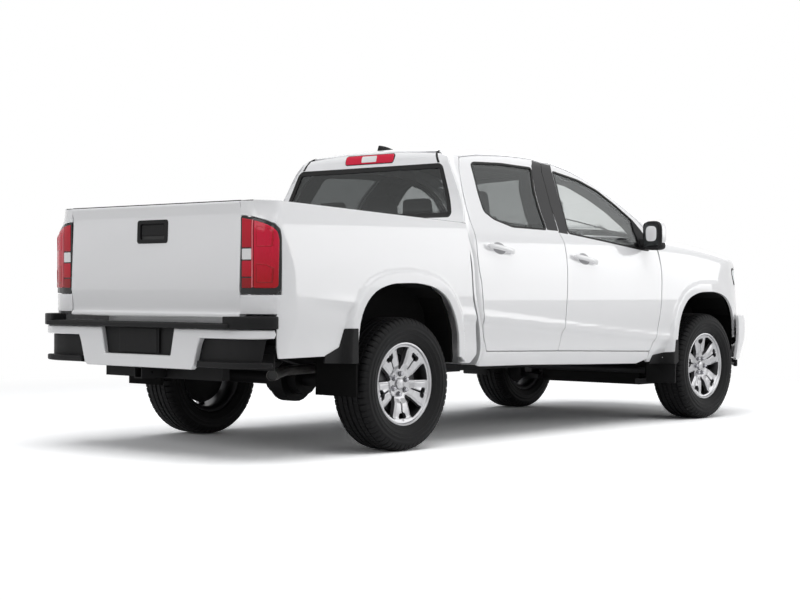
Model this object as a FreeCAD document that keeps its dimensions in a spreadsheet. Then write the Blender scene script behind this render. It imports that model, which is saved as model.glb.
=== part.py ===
import FreeCAD, Part
import math
import os
import Sketcher

os.makedirs("parts", exist_ok=True)
doc = FreeCAD.newDocument("pickup_truck")

# Sizes in millimetres and degrees
sheet = doc.addObject("Spreadsheet::Sheet", "Sizes")
SIZES = [
    ("overall_length", 5403),
    ("wheelbase", 3258),
    ("rear_overhang", 1215),
    ("body_width", 1886),
    ("roof_height", 1795),
    ("track_width", 1585),
    ("tyre_radius", 372),
    ("tyre_width", 255),
    ("rim_radius", 233),
    ("rim_width", 214),
    ("lug_circle", 120),
    ("disc_radius", 152),
    ("kingpin_inset", 72),
    ("panel_gap", 6),
    ("door_depth", 130),
    ("pillar_depth", 60),
    ("skin_step", 40),
    ("roof_depth", 55),
    ("fender_depth", 28),
    ("hood_depth", 38),
    ("glass_depth", 5),
    ("flare_reach", 943),
    ("bed_inner", 700),
    ("bed_floor", 815),
    ("floor_depth", 40),
    ("wheelhouse_inner", 565),
    ("tailgate_depth", 60),
    ("tailgate_bottom", 745),
    ("tailgate_hinge", 785),
    ("tailgate_face", 2561),
    ("rail_width", 80),
    ("rail_height", 120),
    ("receiver_bore", 51),
    ("receiver_outer", 64),
    ("hitch_pin", 16.3),
    ("steering_rim", 190),
    ("seat_gap", 0.3),
    ("floor_under", 540),
    ("floor_top", 575),
    ("stub_radius", 30),
    ("gate_pin", 10),
    ("leaf_depth", 14),
]
for row, (name, value) in enumerate(SIZES, 1):
    sheet.set("A%d" % row, name)
    sheet.set("B%d" % row, str(value))
    sheet.setAlias("B%d" % row, name)
doc.recompute()


class Size:
    """A number together with the sheet formula that gives it."""

    def __init__(self, value, formula):
        self.value = value
        self.formula = formula

    @staticmethod
    def of(other):
        if isinstance(other, Size):
            return other
        return Size(float(other), repr(float(other)))

    def __float__(self):
        return self.value

    def __neg__(self):
        return Size(-self.value, "(-%s)" % self.formula)

    def __add__(self, other):
        other = Size.of(other)
        return Size(self.value + other.value, "(%s + %s)" % (self.formula, other.formula))

    def __sub__(self, other):
        other = Size.of(other)
        return Size(self.value - other.value, "(%s - %s)" % (self.formula, other.formula))

    def __mul__(self, other):
        other = Size.of(other)
        return Size(self.value * other.value, "(%s * %s)" % (self.formula, other.formula))

    def __truediv__(self, other):
        other = Size.of(other)
        return Size(self.value / other.value, "(%s / %s)" % (self.formula, other.formula))

    def __radd__(self, other):
        return Size.of(other) + self

    def __rsub__(self, other):
        return Size.of(other) - self

    def __rmul__(self, other):
        return Size.of(other) * self


class Named:
    """Reads a size by its name in the sheet."""

    def __getattr__(self, name):
        return Size(float(sheet.get(name)), "Sizes." + name)


s = Named()


# Positions on the body follow the wheelbase, the width and the roof height
def along(value):
    return Size(value * s.wheelbase.value / 3258, "(%r * Sizes.wheelbase / 3258)" % float(value))


def across(value):
    return Size(value * s.body_width.value / 1886, "(%r * Sizes.body_width / 1886)" % float(value))


def up(value):
    return Size(value * s.roof_height.value / 1795, "(%r * Sizes.roof_height / 1795)" % float(value))


def vec(x, y, z):
    return FreeCAD.Vector(float(x), float(y), float(z))


rear_axle_x = s.rear_overhang - s.overall_length / 2
front_axle_x = rear_axle_x + s.wheelbase
wheel_y = s.track_width / 2
kingpin_y = wheel_y - s.kingpin_inset


# Plain solids for the panels
def oblong(a0, a1, b0, b1):
    return [(a0, b0), (a1, b0), (a1, b1), (a0, b1)]


def outline_y(points, low, high):
    """Side-view outline carried across from one y to another."""
    corners = [vec(x, low, z) for x, z in points]
    wire = Part.makePolygon(corners + corners[:1])
    return Part.Face(wire).extrude(vec(0, float(high) - float(low), 0))


def outline_x(points, low, high):
    """Front-view outline carried along from one x to another."""
    corners = [vec(low, y, z) for y, z in points]
    wire = Part.makePolygon(corners + corners[:1])
    return Part.Face(wire).extrude(vec(float(high) - float(low), 0, 0))


def outline_z(points, low, high):
    """Plan outline carried up from one z to another."""
    corners = [vec(x, y, low) for x, y in points]
    wire = Part.makePolygon(corners + corners[:1])
    return Part.Face(wire).extrude(vec(0, 0, float(high) - float(low)))


def block(x0, x1, y0, y1, z0, z1):
    corner = vec(x0, y0, z0)
    return Part.makeBox(float(x1) - float(x0), float(y1) - float(y0), float(z1) - float(z0), corner)


def arcs(points):
    """Arcs through an odd number of points, three in turn."""
    return [Part.Arc(*points[i:i + 3]).toShape() for i in range(0, len(points) - 2, 2)]


def mirrored(shape):
    return shape.mirror(vec(0, 0, 0), vec(0, 1, 0))


def both(shape):
    return Part.makeCompound([shape, mirrored(shape)])


def joined(shapes):
    first = shapes[0]
    return first.fuse(shapes[1:]).removeSplitter() if len(shapes) > 1 else first


def ring(profile, sides):
    """Turned form with flat facets around the Y axis, from a closed profile of radius and y."""
    faces = []
    for number in range(sides):
        start = 2 * math.pi * number / sides
        end = 2 * math.pi * (number + 1) / sides
        for (r0, y0), (r1, y1) in zip(profile, profile[1:] + profile[:1]):
            turned = [(r0, y0, start), (r1, y1, start), (r1, y1, end), (r0, y0, end)]
            corners = []
            for r, y, angle in turned:
                corner = vec(float(r) * math.cos(angle), y, float(r) * math.sin(angle))
                if corner not in corners:
                    corners.append(corner)
            if len(corners) > 2:
                faces.append(Part.Face(Part.makePolygon(corners + corners[:1])))
    return Part.Solid(Part.Shell(faces)).removeSplitter()


def part_feature(label, shape):
    feature = doc.addObject("Part::Feature", label)
    feature.Label = label
    solids = shape.Solids
    feature.Shape = solids[0] if len(solids) == 1 else Part.makeCompound(solids)
    return feature


def place(feature, x, y, z, axis=(0, 0, 1), angle=0.0):
    """Stands a piece at a point that follows the sheet."""
    feature.Placement = FreeCAD.Placement(vec(x, y, z), FreeCAD.Rotation(FreeCAD.Vector(*axis), angle))
    for letter, size in (("x", x), ("y", y), ("z", z)):
        feature.setExpression(".Placement.Base.%s" % letter, Size.of(size).formula)


# Half widths of the cab and of the bed at named heights
CAB_SIDE = [
    (400, 852), (500, 902), (650, 922), (880, 927), (1080, 916), (1220, 889),
    (1310, 845), (1450, 769), (1600, 689), (1700, 632), (1850, 540),
]
BED_SIDE = [
    (400, 852), (500, 902), (650, 922), (880, 927), (1080, 921), (1240, 903), (1380, 868),
]


def side_form(table, low_x, high_x, inset):
    """Both sides of the body as one solid; inset moves the skin inwards at each height."""
    left = [vec(low_x, float(across(y)) - inset(z), up(z)) for z, y in table]
    right = [vec(p.x, -p.y, p.z) for p in left]
    edges = arcs(left) + arcs(right)
    edges.append(Part.makeLine(left[0], right[0]))
    edges.append(Part.makeLine(left[-1], right[-1]))
    face = Part.Face(Part.Wire(Part.__sortEdges__(edges)))
    return face.extrude(vec(float(high_x) - float(low_x), 0, 0))


ROOF_LINE = [
    (-960, 1740), (-860, 1757), (-500, 1785), (-200, 1795), (100, 1792), (318, 1779),
    (500, 1750), (640, 1707), (800, 1639), (1093, 1480), (1300, 1366), (1500, 1256), (1600, 1201),
]
HOOD_LINE = [
    (1080, 1322), (1380, 1306), (1600, 1289), (1817, 1267), (2105, 1226), (2300, 1184),
    (2450, 1132), (2560, 1074), (2660, 990),
]


def roof_drop(x, y):
    """Fall of the roof and windscreen from the centre line to the side."""
    share = min(max((x - 300.0) / 400.0, 0.0), 1.0)
    share = share * share * (3 - 2 * share)
    return (0.090 + 0.058 * share) * y * y / 1000.0


def hood_drop(x, y):
    """Fall of the hood and fenders from the centre line to the side."""
    reach = y / 1000.0
    return 56.6 * reach ** 2 + 102.0 * reach ** 6


CROWN_STATIONS = [-980, -860, -740, 0, 740, 860, 980]


def top_form(line, drop, down):
    """Everything below a crowned surface, ruled between the crown arcs along the line."""
    sections = []
    for x, z in line:
        crown = [vec(along(x), across(y), float(up(z)) - drop(x, y) - down) for y in CROWN_STATIONS]
        foot = [vec(p.x, p.y, p.z - 1700) for p in (crown[-1], crown[0])]
        sections.append(Part.Wire(arcs(crown) + Part.makePolygon([crown[-1]] + foot + [crown[0]]).Edges))
    return Part.makeLoft(sections, True, True)


# Outer, middle and inner forms of the cab
def cab_form(side, high, down):
    def inset(z):
        share = min(max((z - 1150.0) / 160.0, 0.0), 1.0)
        return side + (high - side) * share
    sides = side_form(CAB_SIDE, along(-950), along(1560), inset)
    return sides.common(top_form(ROOF_LINE, roof_drop, down))


def bare(z):
    return 0.0


cab_outer = cab_form(0.0, 0.0, 0.0)
cab_middle = cab_form(float(s.skin_step), float(s.skin_step), float(s.skin_step))
cab_inner = cab_form(float(s.door_depth), float(s.pillar_depth), float(s.roof_depth))

# Nose in plan, seen from above
NOSE_PLAN = [
    (0, 2640), (200, 2632), (400, 2606), (560, 2560), (690, 2480), (790, 2370),
    (865, 2230), (905, 2080), (930, 1900),
]


def nose_form(back, inset, shift=0.0):
    """Everything behind the curved nose."""
    left = [vec(float(along(x)) - inset + shift, float(across(y)) - inset * y / 930.0, 250)
            for y, x in NOSE_PLAN]
    right = [vec(p.x, -p.y, p.z) for p in reversed(left[1:])]
    tail = Part.makePolygon([right[0], vec(back, right[0].y, 250), vec(back, left[-1].y, 250), left[-1]])
    face = Part.Face(Part.Wire(Part.__sortEdges__(arcs(right + left) + tail.Edges)))
    return face.extrude(vec(0, 0, 1400))


def front_form(inset, down):
    sides = side_form(CAB_SIDE, along(1080), along(2760), lambda z: inset)
    return sides.common(top_form(HOOD_LINE, hood_drop, down)).common(nose_form(along(1000), inset))


front_outer = front_form(0.0, 0.0)
front_inner = front_form(float(s.fender_depth), float(s.fender_depth))
hood_inner = front_form(float(s.hood_depth), float(s.hood_depth))


# Outlines of the panels in side view
def scaled(points):
    return [(along(x), up(z)) for x, z in points]


def grown(points, amount):
    """Outline moved outwards by an amount, inwards when negative."""
    wire = Part.makePolygon([vec(x, 0, z) for x, z in points] + [vec(points[0][0], 0, points[0][1])])
    moved = wire.makeOffset2D(amount, 2)
    ordered = moved.OrderedVertexes if hasattr(moved, "OrderedVertexes") else moved.Vertexes
    return [(v.Point.x, v.Point.z) for v in ordered]


FRONT_DOOR = scaled([
    (118, 1659), (160, 1722), (263, 1722), (457, 1677), (600, 1628), (718, 1578), (830, 1512), (919, 1450),
    (1010, 1372), (1075, 1290), (1111, 1189), (1138, 1080), (1140, 980), (1132, 816), (1083, 595),
    (1044, 492), (-32, 521), (6, 677), (28, 900), (37, 1087), (33, 1200), (10, 1270), (50, 1440),
])
REAR_DOOR = scaled([
    (118, 1659), (160, 1722), (82, 1742), (-164, 1744), (-480, 1729), (-690, 1704), (-750, 1620),
    (-789, 1523), (-854, 1309), (-867, 1095), (-860, 1010), (-841, 939), (-818, 724), (-795, 620),
    (-760, 536), (-32, 521), (6, 677), (28, 900), (37, 1087), (33, 1200), (10, 1270), (50, 1440),
])
FRONT_WINDOW = scaled([
    (243, 1670), (501, 1625), (674, 1563), (826, 1466), (941, 1375), (1002, 1290), (1012, 1172),
    (920, 1177), (445, 1228), (114, 1262), (183, 1479),
])
FRONT_GLASS = scaled([
    (243, 1670), (501, 1625), (674, 1563), (826, 1466), (930, 1383.7), (900, 1295), (901, 1179.1),
    (445, 1228), (114, 1262), (183, 1479),
])
SAIL = scaled([(930, 1383.7), (900, 1295), (901, 1179.1), (920, 1177), (1012, 1172), (1002, 1290), (941, 1375)])
REAR_GLASS = scaled([
    (-609, 1661), (-569, 1676), (-294, 1686), (18, 1678), (-60, 1532), (-99, 1389), (-114, 1278),
    (-283, 1281), (-460, 1284), (-618, 1325), (-682, 1369), (-659, 1487),
])
CAB_PROFILE = scaled([
    (-924, 1283), (-916, 1069), (-898, 843), (-854, 700), (-825, 520), (-838, 450), (948, 405),
    (1150, 425), (1285, 540), (1285, 1000), (1412, 1180), (1412, 1900), (-760, 1900), (-795, 1740),
    (-811, 1656), (-886, 1330),
])
ROOM_PROFILE = [(along(-780), s.floor_top), (along(1235), s.floor_top)] + scaled([
    (1235, 1000), (1362, 1195), (1362, 1900), (-740, 1900), (-745, 1735), (-760, 1660), (-836, 1330),
    (-874, 1280), (-866, 1069), (-848, 843), (-804, 700),
])


def arch_outline(centre, points):
    return [(centre + dx, float(up(z))) for dx, z in points]


REAR_ARCH = arch_outline(float(rear_axle_x), [
    (420, 300), (420, 513), (412, 657), (376, 763), (318, 850), (216, 910), (97, 928), (-50, 932),
    (-212, 924), (-318, 890), (-378, 820), (-416, 735), (-434, 640), (-440, 500), (-440, 300),
])
FRONT_ARCH = arch_outline(float(front_axle_x), [
    (-455, 300), (-450, 560), (-425, 680), (-389, 760), (-322, 845), (-199, 886), (-31, 896),
    (130, 888), (270, 852), (372, 775), (422, 660), (436, 520), (440, 300),
])

gap = float(s.panel_gap)
seat = float(s.seat_gap)


# A door has an outer flange, a smaller inner box and hinge leaves
door_low = across(554)
opening_low = across(548)
leaf = float(s.leaf_depth)


def front_edge(outline, z):
    """Most forward point of an outline at a height."""
    best = None
    for (x0, z0), (x1, z1) in zip(outline, outline[1:] + outline[:1]):
        a, b, c, d = float(x0), float(z0), float(x1), float(z1)
        if min(b, d) <= z <= max(b, d) and b != d:
            x = a + (c - a) * (z - b) / (d - b)
            best = x if best is None else max(best, x)
    return best


def door_handle(start, end):
    """Grip that stands off the skin on two feet, drawn in side view from its rear end to its front end."""
    (x0, z0), (x1, z1) = start, end
    grip = outline_y(scaled([
        (x0, z0 - 5), (x0 + 16, z0 - 16), (x1 - 16, z1 - 14), (x1, z1 - 5), (x1, z1 + 5), (x1 - 16, z1 + 14),
        (x0 + 16, z0 + 12), (x0, z0 + 5),
    ]), across(928), across(944))
    feet = [outline_y(scaled(oblong(x, x + 34, z - 11, z + 9)), across(880), across(930))
            for x, z in ((x0 + 4, z0), (x1 - 38, z1))]
    return [grip] + feet


def door_shape(outline, window, leaf_levels, handle_ends):
    flange = outline_y(grown(outline, -gap / 2), door_low, 1000)
    inner_box = outline_y(grown(outline, -gap / 2 - 22), door_low, 1000)
    skin = cab_outer.cut(cab_middle).common(flange)
    box = cab_middle.cut(cab_inner).common(inner_box)
    door = skin.fuse(box)
    door = door.cut(outline_y(window, 350, 1000))
    door = door.fuse(door_handle(*handle_ends))
    for z in leaf_levels:
        edge = front_edge(outline, z)
        door = door.fuse(block(edge - 45, edge - 8, across(812), across(872), z + seat, z + seat + leaf))
    return door


def hinge_leaves(outline, levels, reach):
    leaves = []
    for z in levels:
        edge = front_edge(outline, z)
        leaves.append(block(edge - 20, edge + reach, across(812), across(872), z - leaf, z))
    return leaves


def door_glass_shape(outline):
    outer = cab_form(6.0, 6.0, 6.0)
    inner = cab_form(6.0 + float(s.glass_depth), 6.0 + float(s.glass_depth), 30.0)
    return outer.cut(inner).common(outline_y(outline, 350, 1000))


FRONT_LEAVES = [float(up(640)), float(up(1000))]
REAR_LEAVES = [float(up(760)), float(up(1040))]
FRONT_HANDLE = ((97, 1115), (352, 1074))
REAR_HANDLE = ((-779, 1159), (-524, 1123))
for name, outline, window, glass, levels, handle_ends in (
        ("front", FRONT_DOOR, FRONT_WINDOW, FRONT_GLASS, FRONT_LEAVES, FRONT_HANDLE),
        ("rear", REAR_DOOR, REAR_GLASS, REAR_GLASS, REAR_LEAVES, REAR_HANDLE)):
    left = door_shape(outline, window, levels, handle_ends)
    part_feature("door_%s_left" % name, left)
    part_feature("door_%s_right" % name, mirrored(left))
    pane = door_glass_shape(glass)
    part_feature("glass_%s_left" % name, pane)
    part_feature("glass_%s_right" % name, mirrored(pane))

# Cab shell with floor, back wall, roof and pillars
WINDSCREEN = [(-734, 1246), (-380, 1302), (0, 1320), (380, 1302), (734, 1246), (608, 1655), (300, 1696),
              (0, 1708), (-300, 1696), (-608, 1655)]
REAR_WINDOW = [(-716, 1332), (716, 1332), (720, 1350), (600, 1640), (575, 1656), (-575, 1656),
               (-600, 1640), (-720, 1350)]
windscreen_hole = outline_x([(across(y), up(z)) for y, z in WINDSCREEN], along(480), along(1450))
rear_window_hole = outline_x([(across(y), up(z)) for y, z in REAR_WINDOW], along(-960), along(-600))
profile = outline_y(CAB_PROFILE, -1000, 1000)
shell = cab_outer.common(profile)
room = cab_inner.common(outline_y(ROOM_PROFILE, -1000, 1000))
shell = shell.cut(room)
under_floor = block(along(-1000), along(1500), -across(735), across(735), 200, s.floor_under)
shell = shell.cut(under_floor)
for outline in (FRONT_DOOR, REAR_DOOR):
    opening = outline_y(grown(outline, gap / 2), opening_low, 1000)
    shell = shell.cut([opening, mirrored(opening)])
# The front top corner of the rear door swings a little inwards
corner_room = outline_y(grown(REAR_DOOR, gap / 2), across(522), opening_low + 1)
corner_room = corner_room.common(block(along(-40), along(180), 0, 1000, up(1600), 1900))
shell = shell.cut([corner_room, mirrored(corner_room)])
behind_seam = outline_y(scaled([
    (800, 200), (1047, 200), (1047, 492), (1086, 595), (1117, 700), (1140, 816), (1146, 980), (1144, 1080),
    (1117, 1189), (1117, 1500), (800, 1500),
]), 0, 1000)
# The hinge pillar stands just inside the fender
pillar_face = cab_form(float(s.fender_depth) + seat, float(s.fender_depth) + seat, 0.0)
fender_zone = block(along(1000), along(1600), 0, 1000, 210, up(1150))
fender_zone = fender_zone.cut([pillar_face, behind_seam])
forward = block(along(1215), along(1600), across(742), 1000, 200, up(1150))
apron = front_form(-gap, -gap).common(block(along(1117), along(1600), across(742), 1000, up(1149), 1500))
shell = shell.cut([fender_zone, mirrored(fender_zone), forward, mirrored(forward), apron, mirrored(apron)])
shell = shell.cut([windscreen_hole, rear_window_hole])
pillar_out = cab_form(float(s.door_depth) + 18, float(s.pillar_depth) + 34, float(s.roof_depth) + 14)
pillar_in = cab_form(float(s.door_depth) + 68, float(s.pillar_depth) + 76, float(s.roof_depth) + 60)
PILLAR = scaled([(-60, 560), (60, 560), (90, 1100), (70, 1300), (160, 1700), (30, 1700), (-70, 1300), (-50, 1100)])
pillar = pillar_out.cut(pillar_in).common(outline_y(PILLAR, 350, 1000))
pillar_top = block(along(20), along(170), across(440), across(516), up(1640), up(1720))
added = [pillar, pillar_top.common(cab_form(float(s.pillar_depth), float(s.pillar_depth), 20.0))]
added += hinge_leaves(FRONT_DOOR, FRONT_LEAVES, 30)
for z in REAR_LEAVES:
    edge = front_edge(REAR_DOOR, z)
    added.append(block(edge - 20, edge + 8, across(750), across(872), z - leaf, z))
added.append(block(along(1395), along(1440), across(700) + seat, across(710) + seat, up(1185), up(1215)))
brake_lamp = block(along(-812), along(-790), -across(200), across(200), up(1690), up(1714))
shell = shell.fuse(added + [mirrored(item) for item in added]).cut(brake_lamp)
part_feature("cab_shell", shell)

# Windscreen and rear window lie just below the skin
screen_out = cab_form(0.0, 0.0, 6.0)
screen_in = cab_form(0.0, 0.0, 13.0)
part_feature("windscreen", screen_out.cut(screen_in).common(windscreen_hole))
pane = outline_y([
    (along(-886) + 8 - 15, up(1330 - 65.2)), (along(-811) + 8 + 15, up(1656 + 65.2)),
    (along(-811) + 14 + 15, up(1656 + 65.2)), (along(-886) + 14 - 15, up(1330 - 65.2)),
], -1000, 1000)
part_feature("rear_window", pane.common(rear_window_hole))

# Hood and fenders
hood_y = across(742)
hood_zone = block(along(1425), along(2760), -hood_y + gap / 2, hood_y - gap / 2, up(1040), up(1500))
hood_arm = block(along(1428), along(1475), across(690), across(700), up(1190), up(1240))
hood = front_outer.common(hood_zone).cut(hood_inner)
part_feature("hood", hood.fuse([hood_arm, mirrored(hood_arm)]))
HEADLAMP = scaled([(2240, 1085), (2700, 1085), (2700, 900), (2480, 900), (2330, 960)])
lamp_zone = outline_y(HEADLAMP, across(470), 1000)
lamp_inner = front_form(70.0, 60.0)
hood_cut = block(along(1400), along(2760), -hood_y - gap / 2, hood_y + gap / 2, up(1040) - gap, up(1500))
lamp = front_outer.common(lamp_zone).cut(lamp_inner).cut(hood_cut)
part_feature("headlamps", both(lamp))
bumper_top = up(728)
bumper_end = along(2215)
fender_side = front_outer.cut(front_inner)
fender_side = fender_side.common(block(along(1000), along(2760), across(470), 1000, up(412), 1500))
fender_side = fender_side.cut([
    block(along(1000), along(2760), 0, hood_y + gap / 2, up(1040) - gap, 1500),
    lamp_zone,
    block(front_axle_x, along(2760), 0, 1000, 250, bumper_top + seat),
])


def flare(arch, centre, low_z):
    outer = grown([(float(x), float(z)) for x, z in arch], 75)
    ring = outline_y(outer, across(895), s.flare_reach)
    return ring.cut(block(centre - 700, centre + 700, 0, 1000, 0, low_z))


front_arch_hole = outline_y(FRONT_ARCH, 0, 1000)
front_flare = flare(FRONT_ARCH, float(front_axle_x), float(up(600)))
front_flare = front_flare.cut(block(front_axle_x, along(2760), 0, 1000, 250, bumper_top + seat))
fender_left = fender_side.fuse(front_flare).cut([front_arch_hole, behind_seam])
part_feature("fender_left", fender_left)
part_feature("fender_right", mirrored(fender_left))

# Bed sides
BED_PROFILE = scaled([
    (-944, 1284), (-936, 1069), (-918, 843), (-874, 700), (-845, 520), (-882, 467), (-1000, 471),
    (-1060, 560), (-1200, 640), (-1800, 640), (-1980, 640), (-2040, 590), (-2164, 540), (-2484, 540),
    (-2484, 765), (-2600, 765), (-2600, 1353),
])
TAIL_PLAN = [(700, -2557), (800, -2547), (870, -2517), (915, -2460), (940, -2300)]
tail_points = [vec(along(x), across(y), 300) for y, x in TAIL_PLAN]
tail_points[0].y = float(s.bed_inner)
tail_rest = Part.makePolygon([tail_points[-1], vec(along(-800), 1000, 300), vec(along(-800), s.bed_inner, 300),
                              tail_points[0]])
tail_face = Part.Face(Part.Wire(Part.__sortEdges__(arcs(tail_points) + tail_rest.Edges)))
tail_plan = tail_face.extrude(vec(0, 0, 1400))
bed_form = side_form(BED_SIDE, along(-2620), along(-800), bare)
LAMP_PLAN = [(-2564, 702), (-2556, 790), (-2530, 862), (-2508, 896), (-2476, 930), (-2476, 702)]
lamp_block = outline_z([(along(x), across(y)) for x, y in LAMP_PLAN], up(868), up(1270))
hinge_x = -s.tailgate_face + s.tailgate_depth / 2
pin_end = vec(hinge_x, s.bed_inner + 1, s.tailgate_hinge)
gate_pin = Part.makeCylinder(float(s.gate_pin), 20 + float(s.panel_gap), pin_end, vec(0, -1, 0))
rear_liner_room = outline_y(grown(REAR_ARCH, 14 + seat), 0, across(880))
bed_side = bed_form.common(outline_y(BED_PROFILE, s.bed_inner, 1000)).common(tail_plan)
bed_side = bed_side.fuse(flare(REAR_ARCH, float(rear_axle_x), float(up(590))))
bed_side = bed_side.cut([outline_y(REAR_ARCH, 0, 1000), rear_liner_room, lamp_block])
bed_side = bed_side.fuse(gate_pin)
part_feature("bed_side_left", bed_side)
part_feature("bed_side_right", mirrored(bed_side))
part_feature("rear_lamps", Part.makeCompound([lamp_block, mirrored(lamp_block), brake_lamp]))


# Pieces drawn as sketches and pads
def plane(body, role):
    for feature in body.Origin.OriginFeatures:
        if feature.Role == role:
            return feature
    return None


SIGN = {"XY_Plane": 1, "XZ_Plane": -1, "YZ_Plane": 1}


class Piece:
    """One body with sketches bound to the sheet."""

    def __init__(self, label):
        self.body = doc.addObject("PartDesign::Body", label)
        self.body.Label = label
        self.body.AllowCompound = True
        self.label = label
        self.count = 0

    def sketch(self, role, points, level):
        self.count += 1
        sketch = self.body.newObject("Sketcher::SketchObject", "%s_outline_%d" % (self.label, self.count))
        sketch.AttachmentSupport = [(plane(self.body, role), "")]
        sketch.MapMode = "FlatFace"
        if level is not None:
            offset = Size.of(level) * SIGN[role]
            sketch.setExpression(".AttachmentOffset.Base.z", offset.formula)
        pairs = [(Size.of(a), Size.of(b)) for a, b in points]
        lines = []
        for i, (a, b) in enumerate(pairs):
            c, d = pairs[(i + 1) % len(pairs)]
            lines.append(Part.LineSegment(vec(a, b, 0), vec(c, d, 0)))
        sketch.addGeometry(lines, False)
        for i in range(len(pairs)):
            sketch.addConstraint(Sketcher.Constraint("Coincident", i, 2, (i + 1) % len(pairs), 1))
        for i, (a, b) in enumerate(pairs):
            for kind, size in (("DistanceX", a), ("DistanceY", b)):
                number = sketch.addConstraint(Sketcher.Constraint(kind, -1, 1, i, 1, size.value))
                sketch.setExpression("Constraints[%d]" % number, size.formula)
        return sketch

    def circle(self, role, centre, radius, level):
        self.count += 1
        sketch = self.body.newObject("Sketcher::SketchObject", "%s_circle_%d" % (self.label, self.count))
        sketch.AttachmentSupport = [(plane(self.body, role), "")]
        sketch.MapMode = "FlatFace"
        if level is not None:
            offset = Size.of(level) * SIGN[role]
            sketch.setExpression(".AttachmentOffset.Base.z", offset.formula)
        a, b, r = Size.of(centre[0]), Size.of(centre[1]), Size.of(radius)
        sketch.addGeometry(Part.Circle(vec(a, b, 0), vec(0, 0, 1), r.value), False)
        number = sketch.addConstraint(Sketcher.Constraint("Radius", 0, r.value))
        sketch.setExpression("Constraints[%d]" % number, r.formula)
        for kind, size in (("DistanceX", a), ("DistanceY", b)):
            if abs(size.value) < 1e-9 and "Sizes" not in size.formula:
                other = "PointOnObject"
                axis = -2 if kind == "DistanceX" else -1
                sketch.addConstraint(Sketcher.Constraint(other, 0, 3, axis))
                continue
            number = sketch.addConstraint(Sketcher.Constraint(kind, -1, 1, 0, 3, size.value))
            sketch.setExpression("Constraints[%d]" % number, size.formula)
        return sketch

    def grow(self, sketch, role, low, high, kind="PartDesign::Pad"):
        feature = self.body.newObject(kind, "%s_step_%d" % (self.label, self.count))
        feature.Profile = sketch
        feature.setExpression("Length", (Size.of(high) - Size.of(low)).formula)
        return feature

    def pad(self, role, points, low, high):
        level = high if role == "XZ_Plane" else low
        return self.grow(self.sketch(role, points, level), role, low, high)

    def rod(self, role, centre, radius, low, high):
        level = high if role == "XZ_Plane" else low
        return self.grow(self.circle(role, centre, radius, level), role, low, high)

    def cut(self, role, points, low, high):
        level = low if role == "XZ_Plane" else high
        return self.grow(self.sketch(role, points, level), role, low, high, "PartDesign::Pocket")

    def drill(self, role, centre, radius, low, high):
        level = low if role == "XZ_Plane" else high
        return self.grow(self.circle(role, centre, radius, level), role, low, high, "PartDesign::Pocket")

    def mirror(self, features, role="XZ_Plane"):
        feature = self.body.newObject("PartDesign::Mirrored", "%s_mirror_%d" % (self.label, self.count))
        feature.Originals = features
        feature.MirrorPlane = (plane(self.body, role), [""])
        self.body.Tip = feature
        return feature

    def at(self, x, y, z, axis=(0, 0, 1), angle=0.0):
        place(self.body, x, y, z, axis, angle)


def facets(centre, radius, sides):
    """Corners of a round form with flat facets."""
    turns = [2 * math.pi * (number + 0.5) / sides for number in range(sides)]
    return [(centre[0] + radius * math.cos(turn), centre[1] + radius * math.sin(turn)) for turn in turns]


# Bed tub with floor, front wall, wheelhouses and cross sills
floor_end = along(-2468)
tub_half = s.bed_inner
floor_low = s.bed_floor - s.floor_depth
tub = Piece("bed_tub")
tub.pad("XZ_Plane", oblong(floor_end, along(-950), floor_low, s.bed_floor), -tub_half, tub_half)
tub.pad("XZ_Plane", oblong(along(-985), along(-950), s.bed_floor, up(1282)), -tub_half, tub_half)
house = tub.pad("XZ_Plane", oblong(rear_axle_x - 475, rear_axle_x + 475, s.bed_floor, up(1010)),
                s.wheelhouse_inner, tub_half)
tub.mirror([house])
hollow = tub.cut("XZ_Plane", oblong(rear_axle_x - 460, rear_axle_x + 460, floor_low, up(995)),
                 s.wheelhouse_inner + 15, tub_half)
tub.mirror([hollow])
sill_seat = up(700) + s.seat_gap
for x in (-1790, -1240):
    tub.pad("XZ_Plane", oblong(along(x), along(x + 60), sill_seat, floor_low), -across(560), across(560))
tub.pad("XZ_Plane", oblong(along(-2462), along(-2412), up(620) + s.seat_gap, floor_low), -across(480), across(480))

# Tailgate
gate_half = s.bed_inner - s.panel_gap
gate = Piece("tailgate")
gate_out = -s.tailgate_face
gate_in = gate_out + s.tailgate_depth
gate.pad("XZ_Plane", [
    (gate_out + 4, s.tailgate_bottom), (gate_in - 30, s.tailgate_bottom), (gate_in, s.tailgate_bottom + 30),
    (gate_in, up(1340)), (gate_in - 12, up(1353)), (gate_out + 14, up(1353)), (gate_out, up(1342)),
    (gate_out, up(1330)), (gate_out + 7, up(1322)), (gate_out, up(1292)), (gate_out, up(880)),
    (gate_out + 9, s.tailgate_bottom + 22), (gate_out + 4, s.tailgate_bottom + 18),
], -gate_half, gate_half)
gate.pad("XZ_Plane", oblong(gate_out - 6, gate_out, up(1141), up(1268)), -across(126), across(126))
gate.cut("XZ_Plane", oblong(gate_out - 8, gate_out + 20, up(1161), up(1248)), -across(100), across(100))
gate.pad("XZ_Plane", oblong(gate_out - 4, gate_out + 20, up(1218), up(1240)), -across(94), across(94))
pivot = gate.drill("XZ_Plane", (gate_out + s.tailgate_depth / 2, s.tailgate_hinge), s.gate_pin + s.seat_gap,
                   gate_half - 24, gate_half)
gate.mirror([pivot])

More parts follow.
